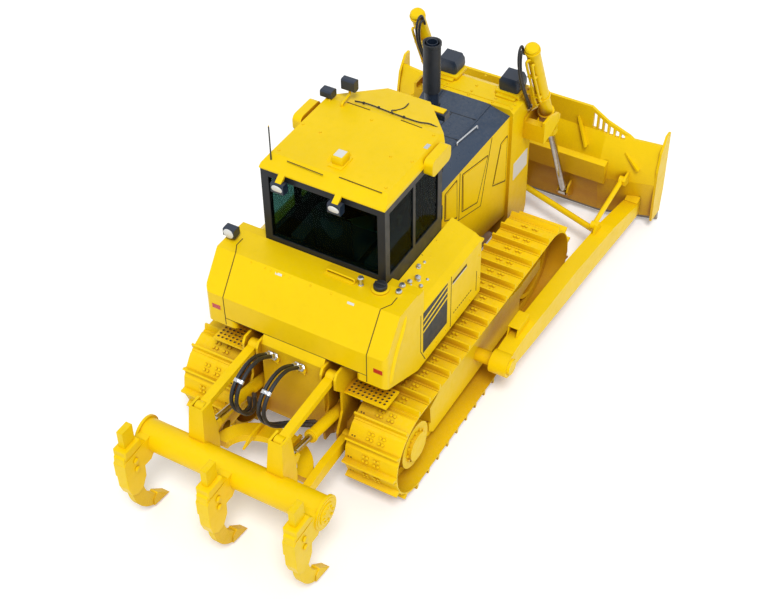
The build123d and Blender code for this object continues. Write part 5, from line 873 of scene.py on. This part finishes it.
# ---------------------------------------------------------------- tank and side boxes
class BULLDOZER_OT_tank(bpy.types.Operator):
    """Fits the rear tank with seams, bolts, reflectors, filler cap, posts, handle and step holes"""

    bl_idname = "bulldozer.tank"
    bl_label = "Rear tank fittings"

    def execute(self, context):
        gap = context.scene.bulldozer_fittings.seam_width * 1000
        seams = []
        for y in (835, -842):
            out = y + (-60 if y < 0 else 60)
            seams.append(strip(on_slope(y, (0, 471), 0.5), gap, 3, (-0.8, 0, 0.6)))
            seams.append(strip([(TANK_REAR_FACE, y, 1936), (TANK_REAR_FACE, y * 0.995, 1562)], gap, 3, (-1, 0, 0)))
            seams.append(strip([(x, left, TANK_TOP + 2.5) for x, left in ((12, y), (120, out), (230, out))], gap, 3))
        seams.append(strip([(TANK_REAR_FACE, 832, 1650), (TANK_REAR_FACE, -840, 1650)], 6, 3, (-1, 0, 0)))
        piece("tank_seams", seams, "seam")

        round_bolt = turned([(11, 0), (11, 4), (8, 9), (3, 11), (0.1, 11.3)], 12)
        row = on_slope((470, 400, 330, 250, 180, 640, -60, -300), 440)
        bolts = repeated(round_bolt, row, (-SLOPE[1], 0, SLOPE[0]), (0, 1, 0))
        piece("tank_bolts", [bolts], "yellow", smooth=True)

        red = [block((-276, y - 52, 1740), (-270, y + 52, 1800), 3) for y in (930, -968)]
        piece("tail_reflectors", red, "red")
        frames = [block((-274.5, y - 60, 1732), (-270.5, y + 60, 1808), 3) for y in (930, -968)]
        piece("reflector_frames", frames, "yellow")
        tags = [plate([(y - 38, up - 12), (y + 38, up - 12), (y + 38, up + 12), (y - 38, up + 12)], 3, on_slope)
                for y, up in ((308, 430), (-527, 418))]
        piece("tank_blank_plates", tags, "white")

        neck = (255, -700, TANK_TOP)
        collar = stood(turned([(0.1, 0), (84, 0), (92, 8), (92, 20), (80, 26), (0.1, 26)], 32), neck)
        piece("filler_collar", [collar], "yellow", smooth=True)
        lid = [stood(turned([(64, 20), (70, 28), (70, 62), (62, 72), (24, 76), (0.1, 76)], 28), neck),
               block((243, -760, 2384), (267, -640, 2402), 8)]
        piece("filler_cap", lid, "plastic", smooth=True)
        knob = [(0.1, 0), (26, 0), (26, 8), (17, 12), (17, 78), (28, 82), (32, 96), (26, 108), (0.1, 112)]
        posts = [stood(turned(knob, 20), (216, -503, TANK_TOP))]
        for x, y, tall in ((300, -880, 150), (420, -850, 120)):
            post = [(17, 34), (17, tall - 40), (30, tall - 34), (34, tall - 16), (26, tall), (0.1, tall + 3)]
            posts.append(stood(turned(post, 18), (x, y, 2200)))
        piece("tank_posts", posts, "zinc", smooth=True)
        handle = eased([(221, -110, 2308), (221, -112, 2340), (221, -135, 2352), (219, -270, 2352), (214, -410, 2352),
                        (213, -432, 2340), (213, -434, 2308)], 5)
        ledge = [carried(circle(11, 10), handle, over=(1, 0, 0)), block((180, -440, 2309), (330, -90, 2322), 5)]
        piece("tank_handle", ledge, "yellow", smooth=True)

        # The holes are dark discs: painted shade standing for the shaded insides of the holes
        holes, rims = [], []
        hole = turned([(0.1, -2), (14, -2), (14, 2.6), (0.1, 2.6)], 10)
        rim = turned([(14.1, 0), (20, 0), (18.5, 3.4), (15.4, 4.4), (14.1, 3.4)], 10, ring=True)
        xs, ys = np.meshgrid(np.linspace(-212, -24, 5), np.linspace(-1000, -595, 9))
        for sign in (1, -1):
            spots = np.stack([xs.ravel(), sign * ys.ravel(), np.full(xs.size, TREAD_TOP - 0.2)], -1)
            holes.append(repeated(hole, spots, (0, 0, 1)))
            rims.append(repeated(rim, spots, (0, 0, 1)))
        piece("step_holes", holes, "seam")
        piece("step_rims", rims, "yellow", smooth=True)
        return {"FINISHED"}


# On the side boxes: seams and edge bolts in (ahead, up), and lid bolts in (ahead, left)
SIDE_BOX_SEAMS = (((1062, 1290), (1062, 1988)), ((1640, 1340), (1640, 1620)), ((520, 1290), (420, 1480), (420, 1985)))
SIDE_BOX_LID_BOLTS = ((1110, 790), (1110, 960), (1560, 790), (1560, 960), (1340, 740), (650, 760), (560, 900))
SIDE_BOX_EDGE_BOLTS = ((560, 1330), (760, 1330), (960, 1330), (1200, 1330), (1500, 1330), (1690, 1500), (1690, 1800))
# Place ahead and left, radius and height of the fittings on the right side box's top
SIDE_BOX_FITTINGS = (
    (640, -800, 26, 60), (760, -830, 30, 46), (700, -900, 20, 40),
    (900, -765, 22, 34), (830, -905, 16, 22), (1000, -780, 14, 16),
)


class BULLDOZER_OT_side_boxes(bpy.types.Operator):
    """Fits both side boxes with seams, louvre, handle, bolts and striped panel, and the tank with its side ribs"""

    bl_idname = "bulldozer.side_boxes"
    bl_label = "Side box fittings"

    def execute(self, context):
        gap = context.scene.bulldozer_fittings.seam_width * 1000
        seams, bolts, stripes, panels, slots, lips = [], [], [], [], [], []
        round_bolt = turned([(12, 0), (12, 5), (8, 10), (0.1, 12)], 12)
        for sign in (1, -1):
            inner, wall = sign * TANK_SIDE, sign * (TANK_SIDE + 0.5)
            out = (0, sign, 0)
            seams += [strip([(x, wall, z) for x, z in run], gap, 3, out) for run in SIDE_BOX_SEAMS]
            seams.append(strip(on_fender(1062, (wall, sign * 712), 0.5), gap, 3))
            # The louvre's slits are dark strips: painted shade standing for the shaded openings
            louvre = np.linspace(1120, 1500, 10)
            seams += [strip([(x, wall, 1440), (x + 26, wall, 1440)], 12, 3, out) for x in louvre]
            panel = [(470, 1420), (980, 1420), (980, 1975), (925, 1975), (470, 1975)]
            panels.append(standing(panel, 2.0, inner, sign))
            for low in (1700, 1780, 1860):
                stripe = [(470, low), (980, low + 66), (980, low + 92), (470, low + 26)]
                stripes.append(standing(stripe, 2.8, inner, sign))
            # The handle slot is a dark strip: painted shade standing for the shaded recess
            for made, wide, thick, z in ((slots, 34, 5, 1895), (lips, 12, 7, 1872)):
                made.append(strip([(1090, wall, z), (1400, wall, z)], wide, thick, out))
            ahead, left = np.transpose(SIDE_BOX_LID_BOLTS)
            bolts.append(repeated(round_bolt, on_fender(ahead, sign * left), (0, sign * 0.41, 0.912)))
            bolts.append(repeated(hex_head(20, 9), [(x, inner, z) for x, z in SIDE_BOX_EDGE_BOLTS], out))
        piece("side_box_seams", seams, "seam")
        piece("side_box_panels", panels, "panel")
        piece("side_panel_stripes", stripes, "stripe")
        piece("side_box_handle_slots", slots, "seam")
        piece("side_box_handle_lips", lips, "white")
        piece("side_box_bolts", bolts, "yellow", smooth=True)

        fittings = []
        for x, y, r, tall in SIDE_BOX_FITTINGS:
            foot = [(0.1, 0), (r * 1.2, 0), (r * 1.2, 8), (r * 0.7, 12)]
            head = [(r * 0.7, tall * 0.6), (r, tall * 0.65), (r, tall), (0.1, tall + 3)]
            fittings.append(stood(turned(foot + head, 16), on_fender(x, y, 0), (0, -0.2, 0.98)))
        piece("side_box_fittings", fittings, "zinc", smooth=True)
        tag = plate([(870, -850), (960, -850), (960, -790), (870, -790)], 3, on_fender)
        piece("side_box_blank_plate", [tag], "white")
        ribs = []
        section = np.array([(-34, -2), (34, -2), (26, 14), (12, 22), (-12, 22), (-26, 14)], float)
        course = ((-180, 1060, 1560), (-150, 1060, 1700), (-60, 1060, 1900), (60, 1060, 2080), (140, 1050, 2230))
        for sign in (1, -1):
            path = eased([(x, sign * y, z) for x, y, z in course], 6)
            sizes = np.r_[0.3, 0.8, np.ones(len(path) - 4), 0.8, 0.3]
            ribs.append(carried(section, path, over=(0, sign, 0), sizes=sizes))
        piece("tank_side_ribs", ribs, "yellow", smooth=True)
        return {"FINISHED"}


# ---------------------------------------------------------------- cab
# Radius and course of each wire that lies on the roof
ROOF_WIRES = (
    (7, ((1618, 370, 3326), (1625, 270, 3334), (1632, 167, 3330), (1612, -76, 3334), (1612, -351, 3330),
         (1650, -470, 3322), (1660, -560, 3300))),
    (6, ((1612, -76, 3334), (1650, -40, 3332), (1720, -60, 3300), (1799, -98, 3290), (1900, -95, 3280))),
)
ROOF_BOLTS = (
    (560, 600), (560, -600), (1500, 600), (1500, -600), (1030, 620),
    (1030, -620), (640, 0), (1420, 60), (1000, -400), (1000, 400),
)


class BULLDOZER_OT_cab(bpy.types.Operator):
    """Fits the roof's seams, wires, bolts, sensor box and blank plate, the aerial and the rear lamps' lenses"""

    bl_idname = "bulldozer.cab"
    bl_label = "Cab and roof fittings"

    def execute(self, context):
        gap = context.scene.bulldozer_fittings.seam_width * 1000
        runs = (((453, 439), (437, 22)), ((485, -128), (475, -606)),
                ((1564, 432), (1559, 159)), ((1563, -196), (1549, -443)))
        seams = [strip(on_roof(*np.array(run, float).T, 0.5), gap, 3) for run in runs]
        piece("roof_seams", seams, "seam")
        wires = [carried(circle(radius, 8), eased(course, 8)) for radius, course in ROOF_WIRES]
        piece("roof_wires", wires, "rubber", smooth=True)
        clips = [block((x - 12, y - 12, 3322), (x + 12, y + 12, 3342), 5)
                 for x, y in ((1625, 270), (1614, -200), (1632, 100))]
        piece("roof_wire_clips", clips, "plastic")
        bolts = [(x, y, ROOF_TOP - 1) for x, y in ROOF_BOLTS]
        piece("roof_bolts", [repeated(hex_head(24, 12), bolts, (0, 0, 1))], "yellow")
        tag = plate([(1270, -655), (1350, -655), (1350, -610), (1270, -610)], 3, on_roof)
        piece("roof_blank_plate", [tag], "zinc")
        sensor = [block((620, -85, 3310), (770, 45, 3424), 16), block((575, -100, 3310), (800, 60, 3338), 8)]
        piece("roof_sensor_box", sensor, "yellow", smooth=True)
        piece("roof_sensor_plate", [block((640, -68, 3423), (750, 28, 3428), 2)], "white")
        lights = []
        lens = turned([(0.1, 0), (60, 0), (60, 8), (52, 14), (0.1, 16)], 24)
        for place, drop in (((255, 440, 3115), 0.35), ((255, -200, 3115), 0.35), ((142, 1000, 2403), 0.1)):
            lights.append(stood(lens, place, (-1, 0, -drop), (0, 0, 1)))
        piece("rear_lamp_lenses", lights, "white", smooth=True)
        whip = turned([(6.1, 0), (14, 0), (14, 40), (8.5, 60), (7.4, 200), (7.0, 466), (0.1, 468)], 12)
        piece("aerial_cover", [stood(whip, (440, 616, 3218))], "plastic", smooth=True)
        return {"FINISHED"}


# ---------------------------------------------------------------- hood and guard
# Corners of the hood sides' panels and runs of their seams, in (ahead, up)
HOOD_PANELS = (
    ((2125, 1640), (2125, 2070), (2375, 2125), (2395, 1520)),
    ((2460, 1545), (2450, 2130), (2995, 2070), (2800, 1465)),
    ((3080, 1500), (3230, 2080), (3370, 2110), (3370, 1400)),
)
HOOD_SIDE_SEAMS = (
    ((2422, 2150), (2422, 1490)), ((2095, 1600), (2422, 1490), (2860, 1400)), ((3040, 2250), (2860, 1400)),
)


def on_hood_side(sign):
    """Gives the function from (ahead, up, lift) to a place on one side of the hood. Its half width grows evenly, from
    400 at its rear to 545 at the guard 1315 further ahead."""
    def place(x, z, lift):
        x, z = np.broadcast_arrays(np.array(x, float), np.array(z, float))
        return np.stack([x, sign * (400 + (x - 2085) * 145 / 1315 + lift), z], -1)
    return place


class BULLDOZER_OT_hood(bpy.types.Operator):
    """Fits the hood with its handle, seams, panels, bolts and head lamp lenses"""

    bl_idname = "bulldozer.hood"
    bl_label = "Hood and radiator guard fittings"

    def execute(self, context):
        gap = context.scene.bulldozer_fittings.seam_width * 1000
        grab = eased([(2560, -318, 2396), (2562, -322, 2424), (2600, -328, 2430), (2900, -366, 2430),
                      (2935, -370, 2424), (2938, -372, 2396)], 5)
        piece("hood_handle", [carried(circle(9, 10), grab, over=(0, 1, 0))], "zinc", smooth=True)
        runs = (((2620, 290), (2640, -290)), ((3050, 140), (3060, -290)), ((2640, 0), (3050, 0)))
        seams = [strip([(x, y, HOOD_TOP + 2) for x, y in run], gap, 3) for run in runs]
        piece("hood_top_seams", seams, "plastic")
        bolts = [(x, y, HOOD_TOP) for x in (3440, 3520, 3640, 3860) for y in (-540, -300, 0, 300, 540)]
        piece("guard_bolts", [repeated(hex_head(24, 12), bolts, (0, 0, 1))], "yellow")
        bar = [strip([(3470, 500, 2402), (3470, -500, 2402)], 16, 8)]
        piece("guard_top_bar", bar, "yellow")
        housings, bases, lenses = [], [], []
        half = [(118, 0), (128, 40), (128, 120), (96, 176)]
        profile = np.array([(-118, 0), *half, *((-x, z) for x, z in half[:0:-1])], float)
        lens = turned([(0.1, 0), (62, 0), (66, 6), (40, 14), (0.1, 18)], 24)
        for y in (391, -391):
            path = [(x, y, z) for x, z in ((3640, 2446), (3660, 2446), (3850, 2452), (3872, 2456))]
            housings.append(carried(profile, path, sizes=(0.82, 0.97, 1.0, 0.98)))
            bases.append(block((3610, y - 150, 2396), (3868, y + 150, 2448), 10))
            bases.append(block((3560, y - 120, 2396), (3615, y + 120, 2424), 8))
            lenses.append(stood(lens, (3872, y, 2540), (1, 0, 0), (0, 1, 0)))
        piece("head_lamp_housings", housings, "lamp", slot="lamp_housing", smooth=True)
        piece("head_lamp_bases", bases, "yellow", smooth=True)
        piece("head_lamp_lenses", lenses, "mirror", smooth=True)
        sleeve = turned([(80, -620), (98, -620), (98, -40), (106, -30), (106, 0), (92, 2), (80, -10)], 32, ring=True)
        sleeve = [stood(sleeve, (3040, 255, 3246)), block((2960, 175, 2398), (3120, 335, 2440), 20)]
        piece("exhaust_sleeve", sleeve, "plastic", slot="black_paint", smooth=True)

        doors, gaps, signs = [], [], []
        for sign in (1, -1):
            on_side = on_hood_side(sign)
            # Each panel's seam lies 34 inside its corners, and its raised middle 62 inside
            for corners in HOOD_PANELS:
                corners = np.array(corners, float)
                middle = corners.mean(0)
                spokes = corners - middle
                reach = np.linalg.norm(spokes, axis=1, keepdims=True)
                ring = middle + spokes * (1 - 34 / reach)
                ring = np.vstack([ring, ring[:1]])
                gaps += [strip(on_side(*ring[k : k + 2].T, 0.6), 12, 4, (0, sign, 0)) for k in range(4)]
                doors.append(plate(middle + spokes * (1 - 62 / reach), 7.0, on_side))
            gaps += [strip(on_side(*np.array(run, float).T, 0.6), 9, 4, (0, sign, 0)) for run in HOOD_SIDE_SEAMS]
            signs.append(standing([(3490, 1360), (3850, 1360), (3850, 1600), (3490, 1600)], 3, sign * 580, sign))
        # The door panels take the far-reaching painted shade of the hood sides
        piece("hood_door_panels", doors, "deep_shade")
        piece("hood_side_seams", gaps, "seam")
        piece("guard_blank_signs", signs, "white")
        ridge = [carried(circle(7, 8), [(2110, sign * 296, 2398), (3390, sign * 300, 2398)], over=(0, 0, 1))
                 for sign in (1, -1)]
        piece("hood_ridges", ridge, "hood", smooth=True)
        return {"FINISHED"}


# ---------------------------------------------------------------- blade, arms and lift cylinders
# Middle of a lift cylinder's yoke and of its rod eye at rest, on the left
LIFT_YOKE, LIFT_ROD_EYE = (4060, 705, 1975.0), (4775, 705, 370.0)
# Courses of its pipes as distances from the yoke: down along the cylinder, to the rear and inwards
LIFT_PIPES = (
    ((-1240, 80, 0), (-1240, 118, 20), (-1150, 125, 30), (-700, 122, 30), (-400, 118, 30), (-350, 76, 20)),
    ((-1180, 84, -40), (-1140, 120, -34), (-700, 124, -34), (-480, 116, -34), (-440, 74, -20)),
)
LIFT_HOSE_ROUTES = (
    ("rear", ((3490, 612, 3165), (3470, 612, 3240), (3385, 618, 3238), (3350, 626, 3110), (3400, 628, 2900),
              (3520, 622, 2640), (3650, 614, 2430), (3745, 606, 2270), (3790, 597, 2190))),
    ("front", ((3528, 612, 3085), (3512, 612, 3162), (3440, 618, 3170), (3412, 626, 3050), (3452, 628, 2848),
               (3572, 622, 2588), (3702, 614, 2378), (3790, 606, 2250), (3842, 597, 2190))),
)


class BULLDOZER_OT_blade(bpy.types.Operator):
    """Fits the lift cylinders with bands, pipes and hoses, and the push arms with their steps"""

    bl_idname = "bulldozer.blade"
    bl_label = "Lift cylinder and push arm fittings"

    def execute(self, context):
        span = np.subtract(LIFT_ROD_EYE, LIFT_YOKE)
        down = span / np.linalg.norm(span)
        rear = np.array((down[2], 0, -down[0]))
        band = turned([(79, -16), (90, -16), (90, 16), (79, 16)], 28, ring=True)
        cap = turned([(0.1, -4), (70, -4), (78, 4), (60, 22), (0.1, 26)], 28)
        half = np.array((26, 52, 12))
        for side, sign in BOTH_SIDES:
            yoke, body = np.array(LIFT_YOKE) * (1, sign, 1), f"lift_tube_{side}"
            axes = np.array((down, rear, (0, -sign, 0)))
            bands = [stood(band, yoke + along * down, -down, (0, 1, 0)) for along in (-1300, -420, 250)]
            bands.append(stood(cap, yoke - 1345 * down, -down, (0, 1, 0)))
            piece(f"lift_bands_{side}", bands, "yellow", body, smooth=True)
            pipes = [carried(circle(15, 12), eased(np.array(course) @ axes + yoke, 6), over=(0, 1, 0))
                     for course in LIFT_PIPES]
            piece(f"lift_pipes_{side}", pipes, "yellow", body, smooth=True)
            spots = np.array([(-950, 112, 0), (-560, 112, 0)]) @ axes + yoke
            piece(f"lift_pipe_clips_{side}", [block(spot - half, spot + half, 6) for spot in spots], "yellow", body)
        nut = turned([(0.1, -30), (15, -30), (17, -24), (17, 6), (0.1, 6)], 16)
        for side, sign in BOTH_SIDES:
            for which, route in LIFT_HOSE_ROUTES:
                points = at([(x, sign * y, z) for x, y, z in route])
                line = hose_line(points)
                hose(f"lift_hose_{side}_{which}", line, 0.028, 16, (0.02, 1, 0.02))
                end = np.array(route[-1]) * (1, sign, 1)
                lug = block(end - np.array((16, sign * 20, 22)), end + np.array((16, sign * 2, 6)), 5)
                piece(f"lift_hose_end_{side}_{which}", [stood(nut, end, (0.35, 0, -0.93)), lug], "zinc", smooth=True)
        steps = []
        cheek = [(1830, 588), (2190, 588), (2140, 752), (1890, 752)]
        for sign in (1, -1):
            steps += [standing(cheek, 14, sign * (y - 7), sign) for y in (1364, 1473)]
            steps.append(block((1875, sign * 1352, 744), (2155, sign * 1485, 760), 4))
        piece("arm_step_plates", steps, "yellow", "blade")
        return {"FINISHED"}


# ---------------------------------------------------------------- ripper
SHANK_SIDES = (-985, 0, 985)
POCKET_OUTLINE = (
    (-1640, 1080), (-1700, 1140), (-1930, 1150), (-1980, 1100), (-1988, 1000), (-1966, 915), (-1986, 820),
    (-1982, 660), (-1945, 540), (-1865, 480), (-1765, 505), (-1700, 610), (-1690, 760), (-1600, 860),
)


class BULLDOZER_OT_ripper(bpy.types.Operator):
    """Fits the ripper with shank pins and pockets, beam caps, cylinder glands and the arched draw frame"""

    bl_idname = "bulldozer.ripper"
    bl_label = "Ripper fittings"

    def execute(self, context):
        pin = turned([(0.1, 0), (30, 0), (34, 4), (34, 16), (24, 22), (0.1, 22)], 20)
        pins = [stood(pin, (-1825, y + sign * 70, z), (0, sign, 0))
                for y in SHANK_SIDES for z in (840, 960) for sign in (1, -1)]
        piece("shank_pins", pins, "yellow", "ripper_beam", smooth=True)
        shells = [standing(POCKET_OUTLINE, 128, y - 64) for y in SHANK_SIDES]
        shells += [block((-1960, y - 78, 1085), (-1715, y + 78, 1190), 12) for y in SHANK_SIDES]
        pockets = piece("shank_pockets", shells, "yellow", "ripper_beam")
        rounding = pockets.modifiers.new("Cast edges", "BEVEL")
        rounding.width, rounding.segments, rounding.limit_method = 0.014, 3, "ANGLE"
        caps = []
        cover = turned([(0.1, 0), (120, 0), (120, 10), (108, 16), (0.1, 16)], 32)
        for sign in (1, -1):
            caps.append(stood(cover, (-1455, sign * 1075, 950), (0, sign, 0)))
            caps.append(repeated(hex_head(26, 14), bolt_circle((-1455, sign * 1090, 950), 82, 8), (0, sign, 0)))
        piece("beam_end_caps", caps, "yellow", "ripper_beam", smooth=True)
        # The arch lies between two half ellipses about the same middle, 1010 behind the sprocket
        turn = np.radians(np.linspace(-90, 90, 25))
        outer = np.stack([-1010 + 450 * np.cos(turn), 572 * np.sin(turn)], -1)
        inner = np.stack([-1010 + 270 * np.cos(turn[::-1]), 410 * np.sin(turn[::-1])], -1)
        arch = lying(np.vstack([outer, inner]), 90, 605)
        rib = [(-1000, 690), (-560, 690), (-575, 745), (-700, 765), (-860, 765), (-990, 700)]
        ribs = [standing(rib, 26, y - 13) for y in (215, -215)]
        # The solid's straight cross tube is what reaches from one side to the other, so those faces go
        arms = bmesh.new()
        arms.from_mesh(cad_object("ripper_frame").data)
        bmesh.ops.remove_doubles(arms, verts=arms.verts, dist=1e-5)
        across = [f for f in arms.faces if min(v.co.y for v in f.verts) < -0.3 and max(v.co.y for v in f.verts) > 0.3]
        bmesh.ops.delete(arms, geom=across, context="FACES")
        bmesh.ops.holes_fill(arms, edges=[e for e in arms.edges if e.is_boundary], sides=0)
        trimmed = bpy.data.meshes.new("trimmed arms")
        arms.to_mesh(trimmed)
        arms.free()
        kept = corners_of(trimmed) * 1000 + (SPROCKET_TO_MIDDLE, 0, 0)
        kept_faces = [list(face.vertices) for face in trimmed.polygons]
        bpy.data.meshes.remove(trimmed)
        draw_frame = piece("ripper_draw_frame", [(kept, kept_faces), arch, *ribs], "yellow", "ripper_frame")
        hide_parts("ripper_frame")
        run = np.array((-985.0, 0, 220.0))
        run /= np.linalg.norm(run)
        gland = turned([(63, -18), (72, -18), (74, 0), (72, 18), (63, 18)], 28, ring=True)
        for side, sign in BOTH_SIDES:
            collar = stood(gland, (-100, sign * 460, 880) + 660 * run, run, (0, 1, 0))
            piece(f"ripper_gland_{side}", [collar], "yellow", f"ripper_tube_{side}", smooth=True)
        return {"FINISHED"}


# ---------------------------------------------------------------- panel and registration
MAKERS = (
    BULLDOZER_OT_stage, BULLDOZER_OT_hoses, BULLDOZER_OT_paint, BULLDOZER_OT_seat, BULLDOZER_OT_tracks,
    BULLDOZER_OT_tank, BULLDOZER_OT_side_boxes, BULLDOZER_OT_cab, BULLDOZER_OT_hood, BULLDOZER_OT_blade,
    BULLDOZER_OT_ripper,
)


class BULLDOZER_PT_makers(bpy.types.Panel):
    """Lists what the bulldozer is dressed with"""

    bl_label = "Bulldozer"
    bl_space_type = "VIEW_3D"
    bl_region_type = "UI"
    bl_category = "Bulldozer"

    def draw(self, context):
        for maker in MAKERS:
            self.layout.operator(maker.bl_idname)
        for name in ("bulldozer_finish", "bulldozer_fittings", "bulldozer_stage"):
            group = getattr(context.scene, name)
            for key in group.__annotations__:
                self.layout.prop(group, key)


CLASSES = (BulldozerFinish, BulldozerFittings, BulldozerStage, *MAKERS, BULLDOZER_PT_makers)


def register():
    for each in CLASSES:
        bpy.utils.register_class(each)
    bpy.types.Scene.bulldozer_finish = PointerProperty(type=BulldozerFinish)
    bpy.types.Scene.bulldozer_fittings = PointerProperty(type=BulldozerFittings)
    bpy.types.Scene.bulldozer_stage = PointerProperty(type=BulldozerStage)


def unregister():
    for name in ("bulldozer_finish", "bulldozer_fittings", "bulldozer_stage"):
        delattr(bpy.types.Scene, name)
    for each in reversed(CLASSES):
        bpy.utils.unregister_class(each)


def main():
    """Makes every piece in order."""
    register()
    FINISHES.update(make_finishes(bpy.context.scene.bulldozer_finish))
    bpy.ops.bulldozer.stage()
    bpy.ops.bulldozer.hoses()
    bpy.ops.bulldozer.paint()
    bpy.ops.bulldozer.seat()
    bpy.ops.bulldozer.tracks()
    bpy.ops.bulldozer.tank()
    bpy.ops.bulldozer.side_boxes()
    bpy.ops.bulldozer.cab()
    bpy.ops.bulldozer.hood()
    bpy.ops.bulldozer.blade()
    bpy.ops.bulldozer.ripper()


if __name__ == "__main__":
    main()
